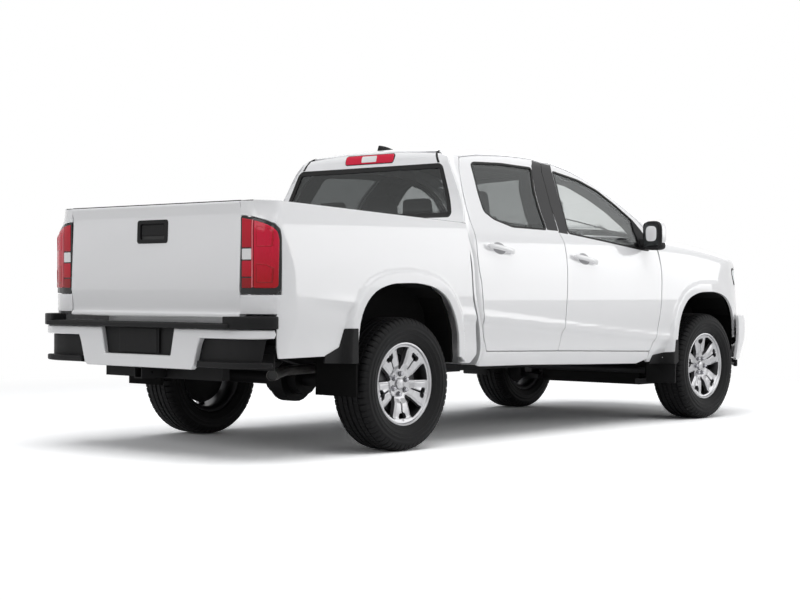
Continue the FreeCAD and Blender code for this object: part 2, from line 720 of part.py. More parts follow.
# Frame with rails, cross members, body mounts and hitch receiver
frame = Piece("frame")
rail_in = across(402)
rail_out = rail_in + s.rail_width
nose_in = rail_in - 52
nose_out = nose_in + s.rail_width
rail_plan = [
    (along(-2480), rail_in), (along(900), rail_in), (along(1150), nose_in), (along(2600), nose_in),
    (along(2600), nose_out), (along(1150), nose_out), (along(900), rail_out), (along(-2480), rail_out),
]
rail_top = s.floor_under - 20
rail_low = rail_top - s.rail_height
rail = frame.pad("XY_Plane", rail_plan, up(380), up(740))
over = frame.cut("XZ_Plane", [
    (along(-2500), up(620)), (along(-2020), up(620)), (along(-1850), up(700)), (along(-1120), up(700)),
    (along(-880), rail_top), (along(2620), rail_top), (along(2620), up(800)), (along(-2500), up(800)),
], across(300), across(500))
under = frame.cut("XZ_Plane", [
    (along(-2500), up(500)), (along(-2020), up(500)), (along(-1850), up(585)), (along(-1120), up(585)),
    (along(-880), rail_low), (along(2620), rail_low), (along(2620), up(300)), (along(-2500), up(300)),
], across(300), across(500))
frame.mirror([rail, over, under])
for x, low, high in ((2380, 420, 500), (300, rail_low, 414), (-1110, 600, 680)):
    frame.pad("XZ_Plane", oblong(along(x - 35), along(x + 35), Size.of(low), Size.of(high)),
              -across(410), across(410))
frame.pad("XZ_Plane", oblong(along(-2480), along(-2430), up(410), up(520)), -across(482), across(482))
cradle_half = across(430)
cradle_rear = along(1640)
cradle_low = up(225)
frame.pad("XZ_Plane", oblong(cradle_rear, along(1900), cradle_low, rail_low), -cradle_half, cradle_half)
for x in (-700, 100, 800):
    middle = (along(x), rail_in + s.rail_width / 2)
    puck = frame.pad("XY_Plane", facets(middle, 32, 12), rail_top, s.floor_under - s.seat_gap)
    frame.mirror([puck])
spring_front = rear_axle_x + 640
spring_rear = rear_axle_x - 640
hanger = frame.pad("XZ_Plane", oblong(spring_front + s.seat_gap, spring_front + 50, up(465), up(515)),
                   rail_out, across(562))
shackle = frame.pad("XZ_Plane", oblong(spring_rear - 50, spring_rear - s.seat_gap, up(515), up(590)),
                    rail_out, across(562))
frame.mirror([hanger, shackle])
winch_low = up(560) + 105 + s.seat_gap
frame.pad("XZ_Plane", oblong(along(-2075), along(-2015), winch_low, winch_low + 20), -rail_out, rail_out)
post = frame.pad("XZ_Plane", oblong(along(-2075), along(-2015), up(600), winch_low + 20), rail_in, rail_out)
frame.mirror([post])
half_out = s.receiver_outer / 2
half_bore = s.receiver_bore / 2
receiver_z = up(445)
receiver_end = along(-2650)
receiver_front = along(-2480) - s.seat_gap
hitch = Piece("hitch_receiver")
hitch.pad("XZ_Plane", oblong(receiver_end, receiver_front, receiver_z - half_out, receiver_z + half_out),
          -half_out, half_out)
hitch.cut("XZ_Plane", oblong(receiver_end, receiver_front - 12, receiver_z - half_bore, receiver_z + half_bore),
          -half_bore, half_bore)
hitch.drill("XZ_Plane", (receiver_end + 70, receiver_z), s.hitch_pin / 2, -half_out, half_out)

# Rear axle with leaf springs
axle = Piece("rear_axle")
stub_end = wheel_y + 10
axle.rod("XZ_Plane", (0, 0), 42, -(wheel_y - 60), wheel_y - 60)
axle.rod("XZ_Plane", (0, 0), s.stub_radius, -stub_end, stub_end)
axle.pad("XZ_Plane", facets((0, 0), 135, 24), -52, 52)
axle.pad("XZ_Plane", facets((0, 0), 92, 16), -125, 125)
spring = axle.pad("XZ_Plane", [
    (-640, 150), (-300, 68), (0, 38), (300, 68), (640, 110), (640, 130), (300, 95), (0, 75), (-300, 95), (-640, 170),
], across(500), across(560))
axle.mirror([spring])
axle.at(rear_axle_x, 0, s.tyre_radius)

# Front suspension and steering rack
arms = Piece("front_suspension")
lower = arms.pad("XY_Plane", [(-190, cradle_half + s.seat_gap), (100, cradle_half + s.seat_gap),
                              (40, kingpin_y - 16), (-40, kingpin_y - 16)], -135, -100)
upper = arms.pad("XY_Plane", [(-110, nose_in), (110, nose_in), (36, kingpin_y - 28), (-36, kingpin_y - 28)],
                 rail_top - s.tyre_radius + s.seat_gap, rail_top - s.tyre_radius + 25)
coil = arms.pad("XY_Plane", facets((0, across(500)), 45, 16), -110, 300)
arms.mirror([lower, upper, coil])
arms.rod("XZ_Plane", (cradle_rear - front_axle_x - 22 - s.seat_gap, -40), 22, -across(535), across(535))
arms.at(front_axle_x, 0, s.tyre_radius)

# Knuckles that steer the front wheels and carry their stub axles
knuckle_top = rail_top - s.tyre_radius
for side, sign in (("left", 1), ("right", -1)):
    knuckle = Piece("knuckle_" + side)
    low, high = (Size.of(-62), Size.of(22)) if sign > 0 else (Size.of(-22), Size.of(62))
    knuckle.pad("XZ_Plane", facets((0, 0), 62, 16), low, high)
    low, high = (Size.of(0), s.kingpin_inset + 10) if sign > 0 else (-(s.kingpin_inset + 10), Size.of(0))
    knuckle.rod("XZ_Plane", (0, 0), s.stub_radius, low, high)
    low, high = (-58, -16) if sign > 0 else (16, 58)
    knuckle.pad("XZ_Plane", [(-40, Size.of(-100) + s.seat_gap), (40, Size.of(-100) + s.seat_gap), (55, 0),
                             (30, knuckle_top), (-30, knuckle_top), (-55, 0)], low, high)
    knuckle.at(front_axle_x, kingpin_y * sign, s.tyre_radius)

# Tyres and rims, in flat facets all round
WHEEL_SIDES = 56
HUB_SIDES = 32
shoulder = s.tyre_width / 2
bead_half = s.rim_width / 2 - 5
bead_radius = s.rim_radius - 8


def tyre_shape():
    r = s.tyre_radius
    bore = bead_radius + s.seat_gap
    return ring([
        (bore, -bead_half), (r - 66, -shoulder), (r - 14, -shoulder + 16), (r, -shoulder + 44),
        (r, shoulder - 44), (r - 14, shoulder - 16), (r - 66, shoulder), (bore, bead_half),
    ], WHEEL_SIDES)


def turned_about(shape, number):
    """Copies of a shape around the Y axis."""
    return [shape.rotated(vec(0, 0, 0), vec(0, 1, 0), 360.0 * step / number) for step in range(number)]


def rim_shape():
    """Barrel, hub with brake disc, five split spokes and six lug nuts."""
    r = s.rim_radius
    half = s.rim_width / 2
    inner = r - 17
    barrel = ring([
        (inner, -half - 8), (r, -half - 8), (r, -half + 0.5), (bead_radius, -half + 0.5),
        (bead_radius, half - 0.5), (r, half - 0.5), (r, half + 8), (inner, half + 8),
    ], WHEEL_SIDES)
    bore = (s.stub_radius + s.seat_gap) / math.cos(math.pi / HUB_SIDES)
    hub = ring([
        (0, 12), (bore, 12), (bore, -6), (s.disc_radius, -6), (s.disc_radius, 20), (84, 20), (74, half - 30),
        (0, half - 30),
    ], HUB_SIDES)
    dish = outline_z([(0, half - 62), (40, half - 62), (r, half - 40), (r, half - 6), (120, half - 16),
                      (40, half - 30), (0, half - 30)], -80, 80)
    leg = outline_y([(40, -24), (r - 16, -48), (r - 16, 48), (40, 24)], 0, half)
    slot = outline_y([(118, -5), (r - 34, -15), (r - 34, 15), (118, 5)], 0, half)
    spokes = turned_about(dish.common(leg).cut(slot), 5)
    corners = [(s.lug_circle.value / 2 + 11 * math.cos(math.radians(60 * k)), 11 * math.sin(math.radians(60 * k)))
               for k in range(6)]
    nuts = turned_about(outline_y(corners, half - 40, half - 8), 6)
    return barrel.fuse([hub] + spokes + nuts)


tyre_form = tyre_shape()
rim_form = rim_shape()
for name, x, sign in (
        ("front_left", front_axle_x, 1), ("front_right", front_axle_x, -1),
        ("rear_left", rear_axle_x, 1), ("rear_right", rear_axle_x, -1)):
    turn = 0.0 if sign > 0 else 180.0
    place(part_feature("tyre_" + name, tyre_form), x, wheel_y * sign, s.tyre_radius)
    place(part_feature("rim_" + name, rim_form), x, wheel_y * sign, s.tyre_radius, (0, 0, 1), turn)

# Spare wheel under the bed, lying flat
spare_shape = ring([
    (0, 40), (180, 40), (200, -105), (s.tyre_radius - 50, -105), (s.tyre_radius - 6, -60), (s.tyre_radius - 6, 60),
    (s.tyre_radius - 50, 105), (0, 105),
], HUB_SIDES)
place(part_feature("spare_wheel", spare_shape), along(-2045), 0, up(560), (1, 0, 0), 90.0)

# Engine and gearbox as one block, with mounts on the rails
engine = Piece("engine")
engine_rear = along(1300)
engine.pad("XZ_Plane", [
    (engine_rear, up(440)), (along(2080), up(440)), (along(2080), up(1070)), (along(1370), up(1070)),
    (engine_rear, up(970)),
], -across(270), across(270))
engine.pad("XZ_Plane", oblong(along(820), engine_rear, up(430), s.floor_under - 10), -across(150), across(150))
mount = engine.pad("XZ_Plane", oblong(along(1650), along(1760), up(450), up(510)), across(270), nose_in - s.seat_gap)
engine.mirror([mount])

# Fuel tank beside the driveshaft
tank = Piece("fuel_tank")
tank.pad("XZ_Plane", oblong(along(-560), along(220), up(350), up(505)), across(90), rail_in - s.seat_gap)


def rod_between(start, end, radius):
    return Part.makeCylinder(radius, (end - start).Length, start, end - start)


def bent_rod(points, radius, sides):
    """Pipe of flat facets that starts along X and turns with mitred corners."""
    path = Part.makePolygon(points)
    start = points[0]
    corners = [vec(start.x, start.y + float(a), start.z + float(b)) for a, b in facets((0, 0), radius, sides)]
    return path.makePipeShell([Part.makePolygon(corners + corners[:1])], True, False, 1)


shaft_start = vec(rear_axle_x + 137, 0, s.tyre_radius)
part_feature("driveshaft", rod_between(shaft_start, vec(along(820) - 2, 0, up(480)), 34))
pipe_points = [vec(engine_rear - s.seat_gap, across(-240), up(468)), vec(along(-240), across(-250), up(468)),
               vec(along(-900), across(-255), up(455)), vec(along(-1075), across(-600), up(402)),
               vec(along(-1290), across(-600), up(470)), vec(along(-1700), across(-600), up(470)),
               vec(along(-2150), across(-620), up(460)), vec(along(-2387), across(-760), up(448))]
muffler = Part.makeCylinder(66, float(along(580)), vec(along(-860), across(-255), up(462)), vec(1, 0, 0))
part_feature("exhaust", bent_rod(pipe_points, 27, 12).fuse(muffler))

# Front bumper and valance
BUMPER_PLAN = [(0, 2701), (250, 2692), (480, 2664), (640, 2618), (770, 2530), (860, 2410), (915, 2290), (930, 2200)]


def bumper_form(inset, low, high):
    left = [vec(float(along(x)) - inset, float(across(y)) - inset * y / 930.0, low) for y, x in BUMPER_PLAN]
    right = [vec(p.x, -p.y, p.z) for p in reversed(left[1:])]
    close = Part.makePolygon([right[0], vec(along(2100), right[0].y, low), vec(along(2100), left[-1].y, low), left[-1]])
    face = Part.Face(Part.Wire(Part.__sortEdges__(arcs(right + left) + close.Edges)))
    return face.extrude(vec(0, 0, float(high) - float(low)))


arch_cut = outline_y(grown(FRONT_ARCH, 8), 0, 1000)
bumper_low = up(450)
bumper = bumper_form(0.0, bumper_low, bumper_top).cut(bumper_form(35.0, up(400), bumper_top - 35))
intake = block(along(2300), along(2760), -across(420), across(420), up(480), up(610))
bumper = bumper.cut([arch_cut, mirrored(arch_cut), intake, block(along(1900), bumper_end, -1000, 1000, 300, 900)])
stay = block(along(2600) + seat, along(2700), nose_in, nose_out, up(450), up(520))
stay = stay.common(bumper_form(20.0, bumper_low, bumper_top))
part_feature("front_bumper", bumper.fuse([stay, mirrored(stay)]))
valance = bumper_form(20.0, up(385), bumper_low - seat).cut(bumper_form(60.0, up(300), up(500)))
valance = valance.cut(block(along(1900), bumper_end, -1000, 1000, 300, 900))
part_feature("front_valance", valance)

# Grille
grille = Piece("grille")
grille_face = along(2590)
grille_low = bumper_top + s.seat_gap
grille.pad("XZ_Plane", oblong(grille_face - 40, grille_face - 15, grille_low, up(1033)), -across(466), across(466))
for z in (745, 800, 855, 910, 965, 1010):
    grille.pad("XZ_Plane", oblong(grille_face - 15, grille_face + 5, up(z), up(z + 22)), -across(462), across(462))

# Rear bumper with a plate recess between its two legs
rear_bumper = Piece("rear_bumper")
bumper_back = along(-2660)
wing_low = up(640)
wing = rear_bumper.pad("XY_Plane", [
    (bumper_back, across(300)), (bumper_back, across(700)), (along(-2640), across(800)), (along(-2590), across(880)),
    (along(-2523), across(914)), (along(-2493), across(914)), (along(-2493), across(880)), (along(-2550), across(850)),
    (along(-2600), across(700)), (along(-2600), across(300)),
], wing_low, up(690))
rear_bumper.mirror([wing])
leg = rear_bumper.pad("YZ_Plane", [
    (across(300), up(680)), (across(490), up(680)), (across(490), wing_low), (across(448), up(481)),
    (across(262), up(481)), (across(300), up(560)),
], bumper_back, along(-2600))
rear_bumper.mirror([leg])
rear_bumper.pad("XZ_Plane", oblong(along(-2645), along(-2600), up(481), up(540)), -across(300), across(300))
rear_bumper.pad("XZ_Plane", oblong(along(-2620), along(-2600), up(530), up(690)), -across(310), across(310))
stay = rear_bumper.pad("XZ_Plane", oblong(along(-2600), along(-2480) - s.seat_gap, up(530), up(610)),
                       rail_in, rail_out)
rear_bumper.mirror([stay])

# Black corner pockets under the bumper's ends, each with a foot step
corners = Piece("bumper_corners")
foot = corners.pad("XY_Plane", [
    (along(-2657), across(500)), (along(-2657), across(700)), (along(-2637), across(797)), (along(-2588), across(875)),
    (along(-2523), across(908)), (along(-2493), across(908)), (along(-2493), across(876)), (along(-2548), across(846)),
    (along(-2597), across(700)), (along(-2597), across(500)),
], up(488), up(524))
pocket = corners.pad("XY_Plane", [
    (along(-2622), across(502)), (along(-2622), across(700)), (along(-2602), across(776)), (along(-2566), across(838)),
    (along(-2500), across(894)), (along(-2500), across(880)), (along(-2552), across(836)), (along(-2600), across(712)),
    (along(-2600), across(502)),
], up(515), wing_low - s.seat_gap)
corners.mirror([foot, pocket])

# Black step along the top of the bumper, with raised corner pads
step_low = up(690) + s.seat_gap
step = Piece("rear_step")
step.pad("XZ_Plane", oblong(along(-2701), along(-2575), step_low, up(718)), -across(750), across(750))
corner = step.pad("XY_Plane", [
    (along(-2690), across(750)), (along(-2640), across(830)), (along(-2560), across(905)), (along(-2525), across(924)),
    (along(-2493), across(924)), (along(-2493), across(860)), (along(-2575), across(750)),
], step_low, up(756))
step.mirror([corner])

# Seats
floor_seat = s.floor_top + s.seat_gap
seats = Piece("front_seats")
cushion = seats.pad("XZ_Plane", [
    (along(-60), up(640)), (along(470), up(690)), (along(480), up(800)), (along(430), up(835)), (along(60), up(790)),
    (along(-150), up(1330)), (along(-250), up(1340)), (along(-250), up(1300)),
], across(130), across(640))
base = seats.pad("XZ_Plane", oblong(along(0), along(400), floor_seat, up(700)), across(200), across(570))
head = seats.pad("XZ_Plane", oblong(along(-290), along(-190), up(1350), up(1530)), across(270), across(500))
stalk = seats.pad("XZ_Plane", oblong(along(-240), along(-215), up(1300), up(1400)), across(330), across(440))
seats.mirror([cushion, base, head, stalk])
bench = Piece("rear_seat")
bench.pad("XZ_Plane", [
    (along(-780), up(700)), (along(-330), up(720)), (along(-330), up(850)), (along(-680), up(820)),
    (along(-750), up(1290)), (along(-815), up(1290)), (along(-825), up(1200)), (along(-825), up(860)),
], -across(620), across(620))
bench.pad("XZ_Plane", oblong(along(-760), along(-400), floor_seat, up(720)), -across(560), across(560))
rest = bench.pad("XZ_Plane", oblong(along(-790), along(-715), up(1280), up(1460)), across(240), across(470))
bench.mirror([rest])

# Dashboard with console and the fixed shroud of the steering column
dash_front = along(1235) - s.seat_gap
DASH = [(along(870), 770), (dash_front, 760), (dash_front, 1180), (along(1180), 1195), (along(880), 1165),
        (along(790), 1090), (along(830), 900)]
dash = outline_y([(x, up(z)) for x, z in DASH], -across(690), across(690))
console = block(along(420), along(900), -across(110), across(110), floor_seat, up(775))
wheel_centre = vec(along(690), across(370), up(1060))
tilt = math.radians(64.0)
column = vec(math.sin(tilt), 0, -math.cos(tilt))
shroud = Part.makeCylinder(38, 130, wheel_centre + column * (40 + seat), column)
part_feature("dashboard", joined([dash, console, shroud]))

# Steering wheel with its boss and two spokes
rim_circle = s.steering_rim
wheel = ring([
    (rim_circle - 14, 0), (rim_circle - 7, -13), (rim_circle + 7, -13), (rim_circle + 14, 0),
    (rim_circle + 7, 13), (rim_circle - 7, 13),
], HUB_SIDES)
boss = ring([(0, -40), (26, -40), (26, -18), (62, -18), (62, 18), (0, 18)], 24)
spoke_bar = block(-18, 18, -8, 8, -(rim_circle - 8), rim_circle - 8)
upright = [item.rotated(vec(0, 0, 0), vec(1, 0, 0), 90) for item in (wheel, boss, spoke_bar)]
steering_wheel = part_feature("steering_wheel", joined(upright))
place(steering_wheel, along(690), across(370), up(1060), (0, 1, 0), -64.0)

# Mirrors on the front doors, each with its sail in the window corner
sail_zone = outline_y(SAIL, 350, 1000)
sail = cab_form(4.0, 4.0, 4.0).cut(cab_form(24.0, 24.0, 60.0)).common(sail_zone)
arm = outline_y(scaled([(915, 1192), (985, 1182), (975, 1252), (925, 1262)]), across(862), across(930))
head = outline_y(scaled([(880, 1180), (960, 1165), (990, 1200), (985, 1340), (950, 1368), (885, 1370)]),
                 across(925), across(1067))
mirror = head.fuse([arm, sail])
part_feature("mirror_left", mirror)
part_feature("mirror_right", mirrored(mirror))

# Liners and mud flaps
front_liner = outline_y(grown(FRONT_ARCH, 14), across(560), across(895) - seat).cut(outline_y(FRONT_ARCH, 0, 1000))
front_liner = front_liner.common(front_form(float(s.fender_depth) + seat, float(s.fender_depth) + seat))
front_liner = front_liner.cut([
    bumper_form(-seat, bumper_low - seat, bumper_top + seat),
    block(-3000, 3000, 0, 1000, 0, up(430)),
    block(front_axle_x, 3000, 0, 1000, 0, bumper_low + 1),
])
front_flap = block(front_axle_x - 468, front_axle_x - 456, across(690), across(925), up(300), up(412) - 5)
flap_neck = block(front_axle_x - 468, front_axle_x - 456, across(690), across(800), up(390), up(445))
rear_liner = outline_y(grown(REAR_ARCH, 14), s.bed_inner + seat, across(880) - seat).cut(outline_y(REAR_ARCH, 0, 1000))
rear_liner = rear_liner.cut(block(-3000, 3000, 0, 1000, 0, up(480)))
rear_flap = block(rear_axle_x - 454, rear_axle_x - 442, across(640), across(940), up(322), up(535))
part_feature("front_liners", both(front_liner.fuse([front_flap, flap_neck])))
part_feature("rear_liners", both(rear_liner.fuse(rear_flap)))

# Roof antenna
FIN = scaled([(-725, 1700), (-533, 1700), (-533, 1776), (-560, 1786), (-690, 1807), (-722, 1803)])
fin = outline_y(FIN, -18, 18).cut(cab_form(0.0, 0.0, -seat))
part_feature("roof_antenna", fin)

doc.recompute()
for item in doc.Objects:
    if item.TypeId not in ("PartDesign::Body", "Part::Feature"):
        continue
    bad = [word for word in item.State if word in ("Invalid", "Error")]
    if bad or item.Shape.isNull() or not item.Shape.isValid():
        raise RuntimeError("%s is not sound: %s" % (item.Label, item.State))
    item.Shape.exportStep("parts/%s.step" % item.Label)
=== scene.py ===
import math
import bpy
import numpy as np
from mathutils import Matrix, Vector
from mathutils.geometry import delaunay_2d_cdt

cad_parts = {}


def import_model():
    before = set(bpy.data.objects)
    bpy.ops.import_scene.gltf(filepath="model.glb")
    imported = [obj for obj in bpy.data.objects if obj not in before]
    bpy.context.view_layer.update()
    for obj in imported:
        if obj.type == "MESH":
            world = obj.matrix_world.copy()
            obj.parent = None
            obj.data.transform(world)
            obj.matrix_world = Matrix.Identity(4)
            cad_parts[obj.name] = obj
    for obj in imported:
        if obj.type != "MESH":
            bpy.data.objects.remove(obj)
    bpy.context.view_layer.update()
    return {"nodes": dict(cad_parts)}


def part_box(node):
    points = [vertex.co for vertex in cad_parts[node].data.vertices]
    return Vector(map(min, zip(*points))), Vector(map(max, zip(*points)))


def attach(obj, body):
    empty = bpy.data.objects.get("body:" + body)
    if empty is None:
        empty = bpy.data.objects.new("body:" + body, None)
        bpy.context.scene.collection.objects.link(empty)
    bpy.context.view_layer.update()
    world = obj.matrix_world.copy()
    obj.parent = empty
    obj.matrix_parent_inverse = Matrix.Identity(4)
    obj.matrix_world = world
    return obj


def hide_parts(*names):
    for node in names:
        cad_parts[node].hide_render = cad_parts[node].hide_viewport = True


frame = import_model()
MM = 0.001


# Driving dimensions, in millimetres, read from the frame
def box_mm(node):
    low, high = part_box(node)
    return np.array(low) / MM, np.array(high) / MM


def middle(node):
    low, high = box_mm(node)
    return (low + high) / 2


REAR_AXLE = middle("tyre_rear_left")
FRONT_AXLE = middle("tyre_front_left")
FLARE_REACH = box_mm("fender_left")[1][1]
GATE_HALF = box_mm("tailgate")[1][1]
HALF_GAP = 3.0
FLIP = np.array([1.0, -1.0, 1.0])
SIDES = (("left", False), ("right", True))
SIGNS = (("left", 1), ("right", -1))


# Smooth curves through tables of place and value
def cubic(table):
    places = np.array([row[0] for row in table], float)
    values = np.array([row[1] for row in table], float)
    slopes = np.gradient(values, places)

    def curve(at):
        at = np.clip(np.asarray(at, float), places[0], places[-1])
        cell = np.clip(np.searchsorted(places, at) - 1, 0, len(places) - 2)
        width = places[cell + 1] - places[cell]
        t = (at - places[cell]) / width
        start = (1 + 2 * t) * (1 - t) ** 2 * values[cell] + t * (1 - t) ** 2 * width * slopes[cell]
        end = t ** 2 * (3 - 2 * t) * values[cell + 1] - t ** 2 * (1 - t) * width * slopes[cell + 1]
        return start + end
    return curve


def ramp(value, low, high):
    share = np.clip((value - low) / (high - low), 0.0, 1.0)
    return share * share * (3 - 2 * share)


def round_max(a, b, radius):
    overlap = np.maximum(radius - np.abs(a - b), 0.0) / radius
    return np.maximum(a, b) + overlap * overlap * radius / 4


# The skin of the body: half widths by height, and the lines of roof, hood and nose
cab_half = cubic([(400, 852), (500, 902), (650, 922), (880, 927), (1080, 916), (1220, 889), (1310, 845), (1450, 769),
    (1600, 689), (1700, 632), (1850, 540)])
bed_half = cubic([(400, 852), (500, 902), (650, 922), (880, 927), (1080, 921), (1240, 903), (1380, 868)])
roof_line = cubic([(-960, 1740), (-860, 1757), (-500, 1785), (-200, 1795), (100, 1792), (318, 1779), (500, 1750),
    (640, 1707), (800, 1639), (1093, 1480), (1300, 1366), (1500, 1256), (1600, 1201)])
hood_line = cubic([(1080, 1322), (1380, 1306), (1600, 1289), (1817, 1267), (2105, 1226), (2300, 1184), (2450, 1132),
    (2560, 1074), (2660, 990)])
nose_plan = cubic([(0, 2640), (200, 2632), (400, 2606), (560, 2560), (690, 2480), (790, 2370), (865, 2230),
    (905, 2080), (930, 1900), (1000, 1500)])
cab_back = cubic([(400, -838), (520, -825), (700, -854), (843, -898), (1069, -916), (1270, -926), (1340, -884),
    (1656, -811), (1740, -795), (1900, -760)])
tail_plan = cubic([(600, -2559), (700, -2557), (800, -2547), (870, -2517), (915, -2460), (940, -2300), (960, -2100)])


def arch(axle, points, count=34):
    """Smooth wheel opening through points given from the axle, with a straight foot at each end."""
    table = np.array([(axle[0] + dx, z) for dx, z in points], float)
    bow = table[1:-1]
    run = np.concatenate([[0.0], np.cumsum(np.linalg.norm(np.diff(bow, axis=0), axis=1))])
    at = np.linspace(0, run[-1], count)
    curve = np.stack([cubic(list(zip(run, bow[:, k])))(at) for k in (0, 1)], axis=1)
    return np.concatenate([table[:1], curve, table[-1:]])


REAR_ARCH = arch(REAR_AXLE, [(420, 300), (420, 513), (412, 657), (376, 763), (312, 850), (218, 903), (97, 928),
    (-50, 933), (-190, 922), (-303, 882), (-378, 812), (-416, 735), (-434, 640), (-440, 500), (-440, 300)])
FRONT_ARCH = arch(FRONT_AXLE, [(-455, 300), (-450, 560), (-428, 674), (-385, 768), (-310, 842), (-193, 884),
    (-31, 897), (130, 888), (270, 850), (372, 770), (422, 660), (436, 520), (440, 300)])


# Plane outlines
def distance(points, loop, closed=True):
    """Shortest distance from each point to a line of points."""
    points = np.asarray(points, float)
    ends = np.roll(loop, -1, axis=0) if closed else loop[1:]
    starts = loop if closed else loop[:-1]
    best = np.full(len(points), 1e9)
    for a, b in zip(starts, ends):
        line = b - a
        share = np.clip(((points - a) @ line) / max(line @ line, 1e-9), 0, 1)
        gap = points - (a + share[:, None] * line)
        best = np.minimum(best, np.hypot(gap[:, 0], gap[:, 1]))
    return best


def inside(points, loop):
    points = np.asarray(points, float)
    result = np.zeros(len(points), bool)
    for a, b in zip(loop, np.roll(loop, -1, axis=0)):
        crosses = (a[1] > points[:, 1]) != (b[1] > points[:, 1])
        if a[1] != b[1]:
            at = a[0] + (points[:, 1] - a[1]) * (b[0] - a[0]) / (b[1] - a[1])
            result ^= crosses & (points[:, 0] < at)
    return result


def area(loop):
    after = np.roll(loop, -1, axis=0)
    return 0.5 * float(np.sum(loop[:, 0] * after[:, 1] - after[:, 0] * loop[:, 1]))


def resample(loop, step, closed=True):
    """Points at even steps along a line, its own corners kept."""
    loop = np.asarray(loop, float)
    ends = np.roll(loop, -1, axis=0) if closed else loop[1:]
    result = []
    for a, b in zip(loop if closed else loop[:-1], ends):
        count = max(1, int(round(np.linalg.norm(b - a) / step)))
        result += [a + (b - a) * number / count for number in range(count)]
    return np.array(result if closed else result + [loop[-1]])


def rounded(points, radius):
    """Closed outline with each corner eased by a short curve."""
    points = np.asarray(points, float)
    result = []
    count = len(points)
    for number in range(count):
        before, corner, after = points[number - 1], points[number], points[(number + 1) % count]
        to_before, to_after = before - corner, after - corner
        reach = min(radius, 0.45 * np.linalg.norm(to_before), 0.45 * np.linalg.norm(to_after))
        start = corner + to_before / max(np.linalg.norm(to_before), 1e-9) * reach
        end = corner + to_after / max(np.linalg.norm(to_after), 1e-9) * reach
        for share in (0.0, 0.25, 0.5, 0.75, 1.0):
            result.append((1 - share) ** 2 * start + 2 * share * (1 - share) * corner + share ** 2 * end)
    return np.array(result)


def outward(loop):
    """Directions away from the material for a loop that has it on its left."""
    along = np.roll(loop, -1, axis=0) - np.roll(loop, 1, axis=0)
    along = along / np.maximum(np.linalg.norm(along, axis=1), 1e-9)[:, None]
    return np.stack([along[:, 1], -along[:, 0]], axis=1)


def moved(loop, amount):
    """Outline moved outwards by an amount, whichever way it runs."""
    loop = np.asarray(loop, float)
    return loop + outward(loop) * amount * (1.0 if area(loop) > 0 else -1.0)


def turns(count):
    """Angles at even steps round a circle."""
    return np.linspace(0, 2 * math.pi, count + 1)[:-1]


def signed(points, sign):
    """Points of one side, or of the other where the sign is negative."""
    return [(y * sign, z) for y, z in points]


def across(edge, sign=1):
    """Edge from one side to the middle carried on to the other side."""
    return signed(edge, sign) + signed(edge[-2::-1], -sign)


# Surfaces, each met by rays from inside the body; a view gives the axes of its two flat places and its depth
AXES = {"side": (0, 2, 1), "top": (0, 1, 2), "end": (1, 2, 0)}
HALVINGS = 26
SLOPE_STEP = 0.6


def spread(view, flat, depth):
    """Points of a flat outline at a depth, as the view looks at them."""
    points = np.empty((len(flat), 3))
    for axis, values in zip(AXES[view], (flat[:, 0], flat[:, 1], depth)):
        points[:, axis] = values
    return points


class Skin:
    """A surface where a form turns from negative to positive, seen along one family of rays."""

    def __init__(self, form, view, inner, outer, axis=(600.0, 1000.0), reach=350.0):
        self.form = form
        self.view = view
        self.inner = inner
        self.outer = outer
        self.axis = axis
        self.reach = reach
        self.way = -1.0 if view == "corner" else 1.0

    def at(self, flat, depth):
        if self.view in AXES:
            return spread(self.view, flat, depth)
        u, v = flat[:, 0], flat[:, 1]
        turn = (v if self.view == "wrap" else u) / self.reach
        out, along = depth * np.cos(turn), self.axis[1] + depth * np.sin(turn)
        if self.view == "wrap":
            return np.stack([u, self.axis[0] + out, along], axis=1)
        return np.stack([self.axis[0] + self.way * out, along, v], axis=1)

    def flatten(self, points):
        points = np.asarray(points, float)
        if self.view in AXES:
            return points[:, AXES[self.view][:2]]
        if self.view == "wrap":
            turn = np.arctan2(points[:, 2] - self.axis[1], points[:, 1] - self.axis[0])
            return np.stack([points[:, 0], turn * self.reach], axis=1)
        turn = np.arctan2(points[:, 1] - self.axis[1], self.way * (points[:, 0] - self.axis[0]))
        return np.stack([turn * self.reach, points[:, 2]], axis=1)

    def meet(self, flat):
        flat = np.asarray(flat, float)
        low = np.full(len(flat), float(self.inner))
        high = np.full(len(flat), float(self.outer))
        for _ in range(HALVINGS):
            half = (low + high) / 2
            p = self.at(flat, half)
            within = self.form(p[:, 0], p[:, 1], p[:, 2]) < 0
            low = np.where(within, half, low)
            high = np.where(within, high, half)
        return self.at(flat, (low + high) / 2)

    def normals(self, points):
        slope = np.zeros_like(points)
        for axis in range(3):
            ahead, behind = points.copy(), points.copy()
            ahead[:, axis] += SLOPE_STEP
            behind[:, axis] -= SLOPE_STEP
            slope[:, axis] = self.form(*ahead.T) - self.form(*behind.T)
        return slope / np.maximum(np.linalg.norm(slope, axis=1), 1e-9)[:, None]


def roof_drop(x, y):
    return (0.090 + 0.058 * ramp(x, 300.0, 700.0)) * y * y / 1000.0


def hood_drop(y):
    reach = y / 1000.0
    return 56.6 * reach ** 2 + 102.0 * reach ** 6


def side_crease(x, z):
    """Lower body line that falls towards the front, with the panel tucked in below it."""
    line = 690.0 - 0.076 * (x + 400.0)
    return -13.0 * ramp(line - z, -10.0, 38.0) + 4.0 * np.exp(-((z - line - 20.0) / 24.0) ** 2)


def flare_lift(x, z, outline, half):
    shape = np.asarray(x).shape
    points = np.stack([np.ravel(x), np.ravel(z)], axis=1)
    far = distance(points, outline, False).reshape(shape)
    return (FLARE_REACH - half) * (1.0 - ramp(far, 52.0, 84.0))


def cab_form(x, y, z):
    half = cab_half(z) + side_crease(x, z)
    form = round_max(y - half, z - (roof_line(x) - roof_drop(x, y)), 70.0)
    return round_max(form, cab_back(z) - x, 60.0)


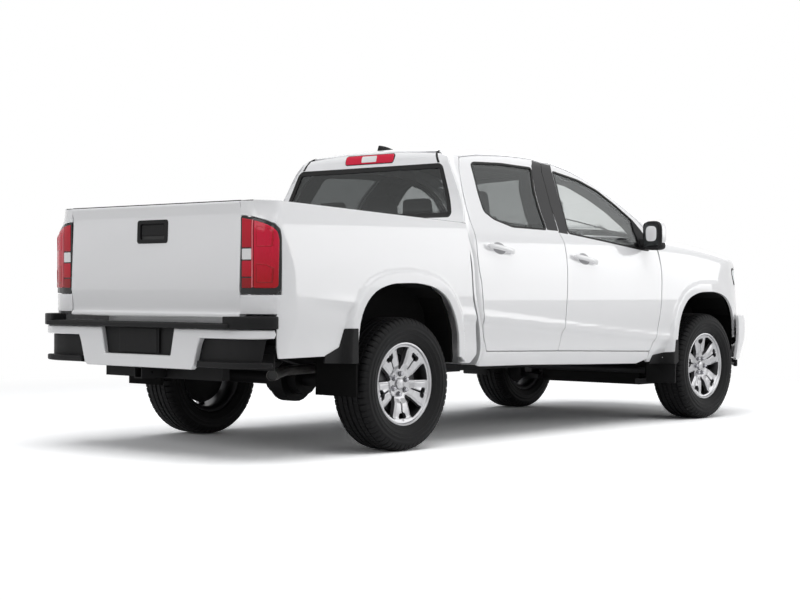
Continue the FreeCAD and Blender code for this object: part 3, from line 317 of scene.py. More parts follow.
def front_form(x, y, z):
    half = cab_half(z) + side_crease(x, z)
    half = half + flare_lift(x, z, FRONT_ARCH, half)
    top = z - (hood_line(x) - hood_drop(y))
    form = round_max(y - half, top, 60.0)
    return round_max(form, x - nose_plan(np.abs(y)) - np.clip(0.13 * (900.0 - z), -28.0, 24.0), 50.0)


def bed_form(x, y, z):
    half = bed_half(z) + side_crease(np.minimum(x, -900.0), z) * ramp(x, -2250.0, -1950.0)
    half = half + flare_lift(x, z, REAR_ARCH, half)
    lean = 55.0 * ramp(z, 1180.0, 1350.0) * ramp(np.abs(y), 735.0, 900.0)
    return round_max(y - half, tail_plan(y) + lean - x, 24.0)


def tail_reach(x):
    """Half width of the tail at a place behind the lamps."""
    return np.interp(x, [-2556, -2551, -2528, -2496, -2467, -2440], [720, 760, 800, 838, 866, 872])


cab_side = Skin(cab_form, "side", 0, 1100)
cab_wrap = Skin(cab_form, "wrap", 20, 1500, (330.0, 1150.0), 480.0)
cab_top = Skin(cab_form, "top", 900, 2000)
cab_end = Skin(cab_form, "end", -300, -1400)
front_side = Skin(front_form, "side", 0, 1100)
front_top = Skin(front_form, "top", 600, 1600)
front_wrap = Skin(front_form, "wrap", 20, 1200, (560.0, 860.0), 340.0)
bed_side = Skin(bed_form, "side", 500, 1100)

# Meshes
HEM_TURNS = [math.radians(turn) for turn in (35, 70, 90)]
EDGE_ANGLE = math.radians(30)


def new_object(name, points, faces, finish, body, normals=None, mirror=False):
    """Piece on a body, with its finish as its one material."""
    points = np.asarray(points)
    if mirror:
        points, faces = points * FLIP, [face[::-1] for face in faces]
        normals = None if normals is None else normals * FLIP
    mesh = bpy.data.meshes.new(name)
    mesh.from_pydata([tuple(p) for p in points * MM], [], faces)
    mesh.validate()
    mesh.polygons.foreach_set("use_smooth", [True] * len(mesh.polygons))
    if normals is not None:
        mesh.normals_split_custom_set_from_vertices([tuple(n) for n in normals])
    mesh.materials.append(finish)
    thing = bpy.data.objects.new(name, mesh)
    bpy.context.collection.objects.link(thing)
    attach(thing, body)
    return thing


def smooth_by_angle(thing, degrees):
    """Keeps edges sharper than an angle crisp."""
    thing.data.set_sharp_from_angle(angle=math.radians(degrees))
    return thing


def filled(points, loops):
    """Which points lie in the first loop and in none of the others."""
    keep = inside(points, loops[0])
    for hole in loops[1:]:
        keep &= ~inside(points, hole)
    return keep


def triangulate(loops, spacing):
    """Triangles that fill the first loop less the others, with the loops' points first."""
    starts = np.cumsum([0] + [len(loop) for loop in loops])
    edges = [(start + k, start + (k + 1) % len(loop)) for start, loop in zip(starts.tolist(), loops)
             for k in range(len(loop))]
    low, high = loops[0].min(0), loops[0].max(0)
    grid = [np.zeros((0, 2))]
    for number, v in enumerate(np.arange(low[1] + spacing / 2, high[1], spacing * 0.87)):
        us = np.arange(low[0] + spacing / 2 * (number % 2), high[0], spacing)
        grid.append(np.stack([us, np.full(len(us), v)], axis=1))
    grid = np.concatenate(grid)
    grid = grid[filled(grid, loops)]
    keep = np.ones(len(grid), bool)
    for loop in loops:
        keep &= distance(grid, loop) > 0.5 * spacing
    points = np.concatenate(loops + [grid[keep]])
    made = delaunay_2d_cdt([Vector(p) for p in points], edges, [], 0, 1e-5)
    flat = np.array([tuple(p) for p in made[0]])
    place = {source: number for number, sources in enumerate(made[3]) for source in sources}
    faces = np.array([face for face in made[2] if len(face) == 3])
    rings = [[place[start + k] for k in range(len(loop))] for start, loop in zip(starts.tolist(), loops)]
    return flat, faces[filled(flat[faces].mean(axis=1), loops)], rings


def unit(ways):
    """Directions brought to a length of one."""
    return ways / np.maximum(np.linalg.norm(ways, axis=1), 1e-9)[:, None]


def slab(name, skin, outline, finish, body="chassis", holes=(), depth=18.0, hem=2.5, spacing=24.0, lift=0.0,
         mirror=False, step=None):
    """Panel cut from a skin with a rolled hem, as thick as depth."""
    loops = []
    for number, loop in enumerate([outline] + list(holes)):
        loop = resample(loop, step or spacing * 0.6)
        loops.append(loop if (area(loop) > 0) == (number == 0) else loop[::-1])
    flat, triangles, rings = triangulate([loop - outward(loop) * hem for loop in loops], spacing)
    points = skin.meet(flat)
    normals = skin.normals(points)
    points = points + normals * lift
    all_points, all_normals = [points], [normals]
    a, b, c = (points[triangles[:, k]] for k in range(3))
    turned = np.sum(np.cross(b - a, c - a) * normals[triangles[:, 0]]) < 0
    faces = [tuple(t)[::-1] if turned else tuple(t) for t in triangles]
    offset = len(points)
    backs = {}
    rolls = [(hem * math.sin(turn), hem * (1 - math.cos(turn)), turn) for turn in HEM_TURNS]
    for ring in rings:
        base = flat[ring]
        away = outward(base)
        previous = list(ring)
        size = len(ring)
        for reach, drop, turn in rolls + [(hem, depth, math.radians(90))]:
            spots = skin.meet(base + away * reach)
            up = skin.normals(spots)
            further = unit(skin.meet(base + away * (reach + 1.0)) - spots)
            all_points.append(spots + up * (lift - drop))
            all_normals.append(up * math.cos(turn) + further * math.sin(turn))
            row = list(range(offset, offset + size))
            for k in range(size):
                n = (k + 1) % size
                quad = (previous[k], previous[n], row[n], row[k])
                faces.append(quad if turned else quad[::-1])
            offset += size
            previous = row
        backs.update(zip(ring, previous))
    extra = [source for source in range(len(points)) if source not in backs]
    backs.update(zip(extra, range(offset, offset + len(extra))))
    if extra:
        all_points.append((points - normals * depth)[extra])
        all_normals.append(-normals[extra])
    faces += [tuple(backs[k] for k in face[::-1]) for face in faces[:len(triangles)]]
    return new_object(name, np.concatenate(all_points), faces, finish, body, unit(np.concatenate(all_normals)),
        mirror)


def bands(rows, size, closed=True):
    """Faces between rows of points that follow each other."""
    return [(row * size + k, row * size + (k + 1) % size, (row + 1) * size + (k + 1) % size, (row + 1) * size + k)
            for row in range(rows - 1) for k in range(size if closed else size - 1)]


def lathe(name, profile, centre, finish, body, sides=96, sharp=32, wave=None, mirror=False):
    """Turned form about an axis along Y; the profile runs through radius and y."""
    profile = np.asarray(profile, float)
    if mirror:
        profile = profile[::-1] * np.array([1.0, -1.0])
    angles = np.arange(sides) * 2 * math.pi / sides
    rows = []
    for r, y in profile:
        radius = np.full(sides, r) + (wave(r, y, angles) if wave else 0.0)
        rows.append(np.stack([radius * np.cos(angles), np.full(sides, y), radius * np.sin(angles)], axis=1))
    points = np.concatenate(rows) + np.asarray(centre)
    thing = new_object(name, points, bands(len(profile), sides), finish, body, None)
    return smooth_by_angle(thing, sharp)


def prism(name, outline, plane, low, high, finish, body="chassis", bevel=2.0, mirror=False, sharp=40,
          segments=2):
    """Outline carried from low to high across its plane, with eased edges."""
    outline = np.asarray(outline, float)
    if area(outline) < 0:
        outline = outline[::-1]
    count = len(outline)
    points = spread(plane, np.tile(outline, (2, 1)), np.repeat([float(low), float(high)], count))
    faces = [tuple(range(count)), tuple(range(2 * count - 1, count - 1, -1))]
    faces += [(k, k + count, (k + 1) % count + count, (k + 1) % count) for k in range(count)]
    if plane != "side":
        faces = [face[::-1] for face in faces]
    thing = new_object(name, points, faces, finish, body, None, mirror)
    if bevel:
        soften(thing, bevel, segments)
    return smooth_by_angle(thing, sharp)


def soften(thing, width, segments):
    modifier = thing.modifiers.new("edges", "BEVEL")
    modifier.width = width * MM
    modifier.segments = segments
    modifier.limit_method = "ANGLE"
    modifier.angle_limit = EDGE_ANGLE
    modifier.harden_normals = False
    apply(thing)


def apply(thing):
    """Keeps what the modifiers make and drops them."""
    graph = bpy.context.evaluated_depsgraph_get()
    made = bpy.data.meshes.new_from_object(thing.evaluated_get(graph))
    thing.modifiers.clear()
    thing.data = made


def loft(name, rows, finish, body="chassis", close_row=True, caps=False, sharp=35, mirror=False):
    """Skin through rows of points, one row after the other."""
    rows = np.asarray(rows, float)
    count, size = rows.shape[:2]
    faces = bands(count, size, close_row)
    if caps:
        faces += [tuple(range(size))[::-1], tuple(range((count - 1) * size, count * size))]
    thing = new_object(name, rows.reshape(-1, 3), faces, finish, body, None, mirror)
    return smooth_by_angle(thing, sharp)


def carve(thing, cutter):
    """Takes one form out of another."""
    modifier = thing.modifiers.new("carve", "BOOLEAN")
    modifier.object = cutter
    modifier.solver = "EXACT"
    apply(thing)
    bpy.data.objects.remove(cutter)
    return smooth_by_angle(thing, 35)


def rectangle(a0, a1, b0, b1, radius=8.0):
    return rounded([(a0, b0), (a1, b0), (a1, b1), (a0, b1)], radius)


def circle_points(centre, radius, count):
    angles = np.arange(count) * 2 * math.pi / count
    return np.stack([centre[0] + radius * np.cos(angles), centre[1] + radius * np.sin(angles)], axis=1)


# Materials
def give(tree, node, values):
    """Sets a node's inputs, each to a value or to what another node puts out."""
    for place, value in values.items():
        if isinstance(value, bpy.types.Node):
            value = next(output for output in value.outputs if output.enabled)
        if isinstance(value, bpy.types.NodeSocket):
            tree.links.new(value, node.inputs[place])
        else:
            node.inputs[place].default_value = value


def add(tree, kind, values=None, **settings):
    """New node of a kind, with its settings and inputs."""
    node = tree.nodes.new("ShaderNode" + kind)
    for name, value in settings.items():
        setattr(node, name, value)
    give(tree, node, values or {})
    return node


def scaled(colour, factor):
    """Colour made lighter or darker, with full cover."""
    return (*[c * factor for c in colour], 1)


def new_material(name):
    made = bpy.data.materials.new(name)
    made.use_nodes = True
    return made, made.node_tree


def material(name, colour, roughness=0.4, metallic=0.0, coat=0.0, grain=0.0, scale=600.0, tint=0.04, bump=0.0,
             sheen=0.0, gloss=0.5):
    """Surface with fine procedural variation of colour, roughness and relief."""
    made, tree = new_material(name)
    shader = tree.nodes["Principled BSDF"]
    shader.inputs["Metallic"].default_value = metallic
    shader.inputs["Coat Weight"].default_value = coat
    shader.inputs["Coat Roughness"].default_value = 0.03
    shader.inputs["Sheen Weight"].default_value = sheen
    shader.inputs["Specular IOR Level"].default_value = gloss
    place = add(tree, "TexCoord")
    noise = add(tree, "TexNoise", {"Scale": scale, "Detail": 3.0, "Vector": place.outputs["Object"]})
    mix = add(tree, "Mix", {"Factor": noise, "A": scaled(colour, 1 - tint), "B": scaled(colour, 1 + tint)},
        data_type="RGBA")
    limits = {"To Min": max(0.0, roughness - grain), "To Max": min(1.0, roughness + grain), "Value": noise}
    give(tree, shader, {"Base Color": mix, "Roughness": add(tree, "MapRange", limits)})
    if bump:
        relief = add(tree, "Bump", {"Strength": bump, "Distance": 0.0006, "Height": noise})
        give(tree, shader, {"Normal": relief})
    return made


PAINT = material("white_paint", (0.84, 0.84, 0.85), 0.30, coat=1.0, grain=0.03, scale=900, tint=0.012, bump=0.02)
# Near-black sheet set in gaps, recesses and bores: painted shade where there is only shade
PAINTED_SHADE = material("seam_shadow", (0.02, 0.02, 0.02), 0.7, grain=0.1)
BLACK = material("black_plastic", (0.009, 0.009, 0.0095), 0.55, grain=0.1, scale=1400, tint=0.2, bump=0.35,
    gloss=0.14)
GLOSS_BLACK = material("gloss_black", (0.008, 0.008, 0.009), 0.16, grain=0.03, tint=0.1, gloss=0.35)
RUBBER = material("rubber", (0.008, 0.008, 0.0085), 0.62, grain=0.12, scale=220, tint=0.3, bump=0.3, gloss=0.14)
SEAL = material("rubber_seal", (0.010, 0.010, 0.010), 0.5, grain=0.08, scale=500, tint=0.2, bump=0.1, gloss=0.2)
ALLOY = material("alloy", (0.38, 0.38, 0.39), 0.3, metallic=0.85, coat=0.1, grain=0.05, scale=900, tint=0.04,
    bump=0.02)
# Dark metal; on the wheel barrel its dark is painted shade over a barrel that is silver
DARK_ALLOY_AND_SHADE = material("dark_alloy_and_painted_shade", (0.07, 0.07, 0.073), 0.4, metallic=1.0, grain=0.08, scale=400, tint=0.1)
CHROME = material("chrome", (0.62, 0.62, 0.64), 0.07, metallic=1.0, grain=0.02, scale=300, tint=0.03)
NUT = material("dark_chrome", (0.36, 0.36, 0.38), 0.14, metallic=1.0, grain=0.03, scale=300, tint=0.05)
STEEL = material("chassis_steel", (0.008, 0.008, 0.0085), 0.6, grain=0.12, scale=90, tint=0.4, bump=0.4, gloss=0.15)
CAST = material("cast_metal", (0.045, 0.045, 0.048), 0.6, metallic=0.5, grain=0.12, scale=260, tint=0.25, bump=0.6)
PIPE = material("pipe_steel", (0.085, 0.083, 0.08), 0.42, metallic=0.9, grain=0.12, scale=40, tint=0.25, bump=0.15)
LINER = material("liner_felt", (0.006, 0.006, 0.006), 0.95, grain=0.03, scale=900, tint=0.3, bump=0.8, gloss=0.1)
# Grey of the handle cups: painted shade inside a cup that is body white
CUP_SHADE = material("handle_cup", (0.34, 0.34, 0.35), 0.4, grain=0.04, scale=900, tint=0.03, bump=0.02)
TRIM = material("cabin_trim", (0.030, 0.030, 0.032), 0.6, grain=0.08, scale=1600, tint=0.15, bump=0.5)
HEADLINER = material("headliner", (0.30, 0.30, 0.29), 0.95, grain=0.03, scale=1500, tint=0.08, bump=0.5)
CARPET = material("carpet", (0.018, 0.018, 0.019), 1.0, grain=0.0, scale=900, tint=0.4, bump=1.0, sheen=0.3)
WHITE_LENS = material("white_lens", (0.80, 0.80, 0.80), 0.12, coat=1.0, grain=0.03, scale=260, tint=0.06, bump=0.1)


def glass_material(name, colour, density):
    """Tinted pane: clear for light that passes, with a mirror-like skin."""
    made, tree = new_material(name)
    tree.nodes.remove(tree.nodes["Principled BSDF"])
    tinted = [c * density for c in colour]
    see = add(tree, "BsdfTransparent")
    gloss = add(tree, "BsdfGlossy", {"Roughness": 0.01, "Color": (0.9, 0.92, 0.92, 1)})
    facing = add(tree, "LayerWeight", {"Blend": 0.5})
    steep = add(tree, "Math", {0: facing.outputs["Facing"], 1: 4.0}, operation="POWER")
    mirror = add(tree, "Math", {0: steep, 1: 0.9, 2: 0.04}, operation="MULTIPLY_ADD")
    place = add(tree, "TexCoord")
    noise = add(tree, "TexNoise", {"Scale": 3.0, "Vector": place.outputs["Object"]})
    mix = add(tree, "Mix", {"Factor": noise, "A": scaled(tinted, 1), "B": scaled(tinted, 1.05)}, data_type="RGBA")
    give(tree, see, {"Color": mix})
    blend = add(tree, "MixShader", {"Fac": mirror, 1: see, 2: gloss})
    give(tree, tree.nodes["Material Output"], {"Surface": blend})
    return made


CLEAR = glass_material("clear_glass", (0.955, 0.965, 0.962), 0.96)
TINTED = glass_material("dark_glass", (0.95, 0.97, 0.97), 0.53)
LENS = glass_material("clear_lens", (0.95, 0.96, 0.97), 1.0)


def painted_light_lens(name, low_colour, high_colour, low, high):
    """Lamp lens with painted light: its colour lighter towards the top as a painted highlight and darker towards the
    bottom as painted shade, between two levels in metres.
    """
    made = material(name, high_colour, 0.14, coat=0.12, grain=0.03, scale=60, tint=0.2, bump=0.1, gloss=0.2)
    tree = made.node_tree
    place = add(tree, "TexCoord")
    split = add(tree, "SeparateXYZ", {"Vector": place.outputs["Object"]})
    # Height share that blends the painted shade below into the painted highlight above
    level = add(tree, "MapRange", {"From Min": low, "From Max": high, "Value": split.outputs["Z"]})
    mix = add(tree, "Mix", {"A": (*low_colour, 1), "B": (*high_colour, 1), "Factor": level}, data_type="RGBA")
    give(tree, tree.nodes["Principled BSDF"], {"Base Color": mix})
    return made


RED_LENS = painted_light_lens("red_lens", (0.48, 0.0, 0.008), (0.66, 0.004, 0.040), 0.93, 1.12)
DEEP_RED = painted_light_lens("deep_red_lens", (0.30, 0.0, 0.003), (0.56, 0.002, 0.022), 0.90, 1.22)
LIGHT_BAR = material("light_bar", (0.75, 0.15, 0.18), 0.15, coat=0.4, grain=0.03, scale=60, tint=0.1, bump=0.1,
    gloss=0.3)
MIRROR = material("mirror_glass", (0.15, 0.155, 0.16), 0.05, metallic=1.0, grain=0.01, scale=300, tint=0.03)
# Near-black ring round each wheel nut: painted shade of the nut's pocket
NUT_POCKET_SHADE = material("nut_seat", (0.02, 0.02, 0.021), 0.4, grain=0.06, scale=400, tint=0.1)
FABRIC = material("seat_fabric", (0.035, 0.035, 0.037), 0.92, grain=0.05, scale=1800, tint=0.35, bump=0.9, sheen=0.25)

# Slots that the finishes stand for; the first of each also covers the pieces of the frame that stay
SLOTS = {
    "white_paint": (PAINT, CUP_SHADE),
    "black_plastic": (BLACK, PAINTED_SHADE, GLOSS_BLACK, SEAL, LINER, TRIM, NUT_POCKET_SHADE),
    "tyre": (RUBBER,),
    "alloy": (ALLOY, DARK_ALLOY_AND_SHADE),
    "bare_steel": (PIPE, CHROME, NUT, MIRROR),
    "dark_steel": (STEEL,),
    "cast_metal": (CAST,),
    "seat_fabric": (FABRIC, HEADLINER, CARPET),
    "clear_lens": (LENS, WHITE_LENS),
    "clear_glass": (CLEAR,),
    "dark_glass": (TINTED,),
    "red_lens": (RED_LENS, DEEP_RED, LIGHT_BAR),
}

# Panel outlines in side view
DOORS = [(1111, 1189), (1075, 1290), (1010, 1372), (919, 1450), (830, 1512), (718, 1578), (600, 1628), (457, 1677),
    (263, 1722), (160, 1722), (82, 1742), (-164, 1744), (-480, 1729), (-690, 1704), (-750, 1620), (-789, 1523),
    (-854, 1309), (-867, 1095), (-860, 1010), (-841, 939), (-818, 724), (-795, 620), (-760, 536), (-32, 521),
    (1044, 492), (1083, 595), (1132, 816), (1140, 980), (1138, 1080)]

# Points of that outline that the cab's own edge follows
DOOR_EDGE = 25
POST = [(6, 677), (28, 900), (37, 1087), (33, 1200), (10, 1270), (50, 1440)]
POST_TOP = [(118, 1659)]
FRONT_DOOR = POST_TOP + DOORS[9::-1] + DOORS[:22:-1] + POST
REAR_DOOR = POST_TOP + DOORS[9:24] + POST
FRONT_WINDOW = [(243, 1670), (501, 1625), (674, 1563), (826, 1466), (941, 1375), (1002, 1290), (1012, 1172),
    (920, 1177), (445, 1228), (114, 1262), (183, 1479)]
SAIL = [(933, 1388), (905, 1295), (903, 1184), (920, 1180), (1010, 1176), (1000, 1288), (941, 1373)]
REAR_WINDOW_SIDE = [(-609, 1661), (-569, 1676), (-294, 1686), (18, 1678), (-60, 1532), (-99, 1389), (-114, 1278),
    (-283, 1281), (-460, 1284), (-618, 1325), (-682, 1369), (-659, 1487)]
WINDSCREEN = [(-734, 1246), (-380, 1302), (0, 1320), (380, 1302), (734, 1246), (608, 1655), (300, 1696), (0, 1708),
    (-300, 1696), (-608, 1655)]
BACK_WINDOW = [(-716, 1332), (716, 1332), (720, 1350), (600, 1640), (575, 1656), (-575, 1656), (-600, 1640),
    (-720, 1350)]
cab_front = Skin(cab_form, "end", 300, 1700)


# Cab: side rings with sills and pillars, roof, back wall
def cab_side_ring():
    edge = moved(DOORS, HALF_GAP)[:DOOR_EDGE]
    door_side = cab_side.meet(resample(edge, 30, closed=False))
    sill = cab_side.meet([(1060, 440), (948, 410), (400, 422), (-300, 440), (-812, 455)])
    heights = np.linspace(500, 1690, 24)
    back = cab_side.meet(np.stack([cab_back(heights) + 9, heights], axis=1))
    runs = np.linspace(-770, 520, 30)
    ditch = cab_top.meet(np.stack([runs, np.full(30, 536.0)], axis=1))
    screen = resample([(560, 1664), (613, 1655), (640, 1567), (690, 1405), (739, 1248)], 30, closed=False)
    pillar = cab_front.meet(screen)
    foot = cab_side.meet([(1165, 1225), (1128, 1190)])
    points = np.concatenate([door_side, sill, back, ditch, pillar, foot])
    return cab_wrap.flatten(points)


ring_outline = cab_side_ring()
for side, mirror in SIDES:
    slab("cab_side_" + side, cab_wrap, ring_outline, PAINT, depth=20, spacing=26, mirror=mirror)
top_edge = cab_front.meet(resample([(528, 1668), (300, 1698.5), (0, 1710.5), (-300, 1698.5), (-528, 1668)], 40,
    closed=False))[:, :2]
roof_outline = np.concatenate([top_edge, [(-760, -528), (-778, -400), (-780, 0), (-778, 400), (-760, 528)]])
roof = slab("roof", cab_top, roof_outline, PAINT, depth=20, spacing=34)
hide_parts("cab_shell")
heights = np.linspace(460, 1700, 40)
back_right = np.stack([cab_half(heights) - 8, heights], axis=1)
back_top = np.array([(560, 1722), (300, 1742), (0, 1750), (-300, 1742), (-560, 1722)], float)
back_outline = np.concatenate([back_right, back_top, back_right[::-1] * np.array([-1, 1])])
slab("back_wall", cab_end, back_outline, PAINT, holes=[rounded(BACK_WINDOW, 26)], depth=18, spacing=40, lift=0.4,
    hem=0.8)
for side, sign in SIGNS:
    slab("roof_ditch_" + side, cab_top, [(x, y * sign) for x, y in ((-765, 525), (560, 525), (560, 540),
        (-765, 540))], BLACK, depth=6, spacing=30, lift=-3.5, step=14)
for side, mirror in SIDES:
    slab("ditch_end_" + side, cab_end, [(512, 1746), (529, 1744), (574, 1664), (557, 1664)], SEAL, depth=6,
        spacing=14, lift=1.2, hem=1.5, step=10, mirror=mirror)

# Doors with trim behind the skin, window seals, panes and handles
HANDLES = {"front": ((97, 1115), (352, 1074)), "rear": ((-779, 1159), (-524, 1123))}
PILLAR_TRIMS = {
    "front": [(13.8, 1262), (106, 1254), (176, 1480), (236, 1676), (262, 1714), (161, 1719), (120, 1659), (52, 1440)],
    "rear": [(8, 1272), (48, 1441), (116, 1661), (156, 1719), (84, 1734), (30, 1690), (-52, 1530), (-91, 1388),
             (-106, 1275)],
}


def handle(name, start, end, mirror, body):
    """Pull handle: a cup in the skin, grey as painted shade, and a bowed grip over it."""
    start, end = np.array(start, float), np.array(end, float)
    line = (end - start) / np.linalg.norm(end - start)
    up = np.array([-line[1], line[0]])
    centre = (start + end) / 2
    # The cup's grey is painted shade; the cup itself is white like the body
    cup = [centre + line * 62 * math.cos(a) + up * 36 * math.sin(a) + up * 6 for a in turns(27)]
    slab(name + "_cup", cab_side, cup, CUP_SHADE, body, depth=1.5, spacing=14, lift=0.6, hem=1.0, mirror=mirror)
    count, sides = 41, 18
    stations = np.linspace(0, 1, count)
    spots = cab_side.meet(start + (end - start) * stations[:, None])
    normals = cab_side.normals(spots)
    rise = 9 + 24 * np.sin(np.pi * stations) ** 0.45
    points = []
    for k, share in enumerate(stations):
        tip = min(share, 1 - share) / 0.06
        size = min(1.0, math.sqrt(max(1 - (1 - min(tip, 1.0)) ** 2, 0.0004)))
        for n in range(sides):
            a = 2 * math.pi * n / sides
            high, deep = [abs(part) ** 0.7 * np.sign(part) for part in (math.cos(a), math.sin(a))]
            offset = np.array([up[0] * (14.5 * size) * high, 0, up[1] * (14.5 * size) * high])
            points.append(spots[k] + offset + normals[k] * (rise[k] + 8.5 * size * deep))
    faces = bands(count, sides) + [tuple(range(sides))[::-1], tuple(range((count - 1) * sides, count * sides))]
    new_object(name, points, [face[::-1] for face in faces], PAINT, body, mirror=mirror)


for side, mirror in SIDES:
    for place, door, window, glass in (("front", FRONT_DOOR, FRONT_WINDOW, CLEAR),
                                       ("rear", REAR_DOOR, REAR_WINDOW_SIDE, TINTED)):
        body = "door_%s_%s" % (place, side)
        outline = rounded(moved(door, -HALF_GAP), 14)
        opening = rounded(window, 20)
        skin = slab("skin_" + body, cab_side, outline, PAINT, body, holes=[opening], depth=20, spacing=24,
            mirror=mirror)
        slab("trim_" + body, cab_side, rounded(moved(door, -24), 14), TRIM, body, holes=[moved(opening, 7)], depth=78,
            spacing=40, lift=-20.5, hem=6, mirror=mirror)
        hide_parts(body)
        pane = slab("pane_" + body, cab_side, moved(opening, 5), glass, body, depth=4, spacing=40, lift=-6, hem=1,
            mirror=mirror)
        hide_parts("glass_%s_%s" % (place, side))
        slab("seal_" + body, cab_side, moved(opening, 7), SEAL, body, holes=[moved(opening, -7)], depth=8, spacing=20,
            lift=0.8, hem=2.5, step=12, mirror=mirror)
        slab("pillar_trim_" + body, cab_side, rounded(PILLAR_TRIMS[place], 5), GLOSS_BLACK, body, depth=22, spacing=24,
            lift=1.0, hem=1.5, mirror=mirror)
        handle("handle_" + body, *HANDLES[place], mirror, body)

PILLAR_SEAM = np.array(POST[2:] + POST_TOP + [(158, 1712)], float)
# Dark strips behind the gaps at the door posts: painted shade in the gaps
for side, mirror in SIDES:
    strip = np.concatenate([PILLAR_SEAM - np.array([17, 0]), PILLAR_SEAM[::-1] + np.array([17, 0])])
    slab("pillar_gap_" + side, cab_side, strip, PAINTED_SHADE, depth=3, spacing=30, lift=-24, hem=1, mirror=mirror)

# Hood, fenders and bed sides
FENDER = [(1143, 1080), (1145, 980), (1137, 816), (1088, 595), (1050, 500), (1060, 418), (1300, 414)]
fender_arch = FRONT_ARCH[1:-1]
fender_side_outline = np.concatenate([FENDER, fender_arch[fender_arch[:, 1] > 520], [(2205, 728), (2236, 728),
    (2240, 900), (2228, 942), (2192, 984), (2158, 1030), (2154, 1064), (2215, 1074), (2240, 1086), (2240, 1150)]])
hood_seam = front_top.meet(np.stack([np.linspace(2250, 1430, 30), np.full(30, 745.0)], axis=1))
cowl_corner = front_side.meet([(1300, 1262), (1172, 1228), (1128, 1180)])
side_points = front_side.meet(resample(fender_side_outline, 18, closed=False))
fender_points = np.concatenate([side_points, hood_seam, cowl_corner])
fender_outline = front_wrap.flatten(fender_points)
for side, mirror in SIDES:
    piece = slab("wing_" + side, front_wrap, fender_outline, PAINT, depth=16, spacing=17, mirror=mirror)
    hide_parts("fender_" + side)
hood_front = np.array([(2245, 739), (2330, 715), (2420, 655), (2500, 560), (2545, 470), (2575, 300), (2588, 0)],
    float)
hood_outline = np.concatenate([[(1428, -739), (2245, -739)], hood_front[1:] * np.array([1, -1]), hood_front[-2::-1],
    [(1428, 739)]])
bonnet = slab("bonnet", front_top, hood_outline, PAINT, "hood", depth=22, spacing=36)
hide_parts("hood")
bed_outline = np.concatenate([[(-950, 1284), (-942, 1069), (-924, 843), (-880, 700), (-851, 520), (-888, 470),
    (-1000, 474), (-1050, 513)],
    REAR_ARCH[(REAR_ARCH[:, 1] > 512) & ((REAR_ARCH[:, 0] > REAR_AXLE[0]) | (REAR_ARCH[:, 1] > 600))], [(-1926, 560),
    (-2010, 545), (-2484, 540), (-2496, 600), (-2497, 763), (-2470, 868), (-2470, 1165), (-2476, 1206), (-2494, 1234),
    (-2519, 1252), (-2538, 1262), (-2544, 1352), (-2100, 1334), (-1500, 1309), (-1000, 1289)]])
for side, mirror in SIDES:
    piece = slab("bed_skin_" + side, bed_side, bed_outline, PAINT, depth=14, spacing=17, mirror=mirror)
    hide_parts("bed_side_" + side)

# Windscreen and rear window
screen = slab("windscreen_pane", cab_front, rounded(moved(WINDSCREEN, -3), 40), CLEAR, depth=5, spacing=60, lift=-4,
    hem=1)
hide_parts("windscreen")
slab("windscreen_border", cab_front, rounded(moved(WINDSCREEN, 5), 40), SEAL, depth=4, spacing=30, lift=-2.5, hem=1.5,
    holes=[rounded(moved(WINDSCREEN, -34), 50)])
window = slab("back_window_pane", cab_end, rounded(moved(BACK_WINDOW, 6), 26), TINTED, depth=5, spacing=60, lift=-6,
    hem=1)
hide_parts("rear_window")
slab("back_window_seal", cab_end, rounded(moved(BACK_WINDOW, 6), 30), SEAL, depth=7, spacing=30, lift=0.8, hem=2.5,
    holes=[rounded(moved(BACK_WINDOW, -26), 40)])

# Bed: rail caps, inner walls and wheelhouses
RAIL_START, RAIL_RUN = -2544.0, 1589.0
RAIL_HIGH, RAIL_FALL = 1353.0, 64.0


def rail_height(x):
    return RAIL_HIGH - RAIL_FALL * (np.asarray(x, float) - RAIL_START) / RAIL_RUN


# Dark walls inside the wheel wells: name, plane, low, high and outline
crown = [p for p in moved(REAR_ARCH, 12) if p[1] > 790]
REAR_WELLS = (
    ("wheel_well_top_", "side", 700.5, 711, [(crown[0][0] + 40, 640)] + crown + [(crown[-1][0] - 45, 640)]),
    ("wheel_well_low_", "side", 606, 614, [(-1910, 540), (-1910, 790), (-962, 790), (-962, 540)]),
    ("wheel_well_shelf_", "top", 772, 779, [(-1930, 608), (-1930, 702), (-962, 702), (-962, 608)]),
)
FRONT_WELLS = (
    ("front_well_wall_", "side", 548, 556, [(1330, 702), (1330, 905), (2215, 905), (2215, 702)]),
    ("front_well_low_", "side", 452, 460, [(1980, 590), (1980, 704), (2226, 704), (2226, 590)]),
    ("front_well_nose_", "end", 2224, 2230, [(250, 410), (845, 410), (845, 900), (250, 900)]),
)


def well_walls(walls, side, mirror):
    for name, plane, low, high, wall in walls:
        prism(name + side, wall, plane, low, high, LINER, bevel=1, mirror=mirror)


stations = np.linspace(-2540, -952, 60)
for side, mirror in SIDES:
    rows = []
    for x in stations:
        z = float(rail_height(x))
        out = float(bed_half(z) - 1.0 if x > -2450 else min(bed_half(z) - 1.0, tail_reach(x)))
        rows.append([(x, y, z + dz) for y, dz in ((out - 3, -16), (out + 1.5, -13), (out + 1.5, -5), (out - 3, -1),
            (out - 10, 0), (722, 0), (706, -1), (699, -6), (698, -26), (704, -26))])
    loft("rail_cap_" + side, rows, BLACK, caps=True, mirror=mirror)
    wall = [(-2490, 782), (-2490, rail_height(-2490) - 8), (-955, rail_height(-955) - 8), (-955, 782)]
    prism("bed_wall_" + side, wall, "side", 700, 707, PAINT, bevel=1, mirror=mirror)
    well_walls(REAR_WELLS, side, mirror)
    house = [(-1955, 780), (-1955, 1004), (-1018, 1004), (-1018, 780)]
    prism("wheelhouse_" + side, rounded(house, 60), "side", 552, 699, PAINT, bevel=14, mirror=mirror, segments=4)
for side, mirror in SIDES:
    well_walls(FRONT_WELLS, side, mirror)

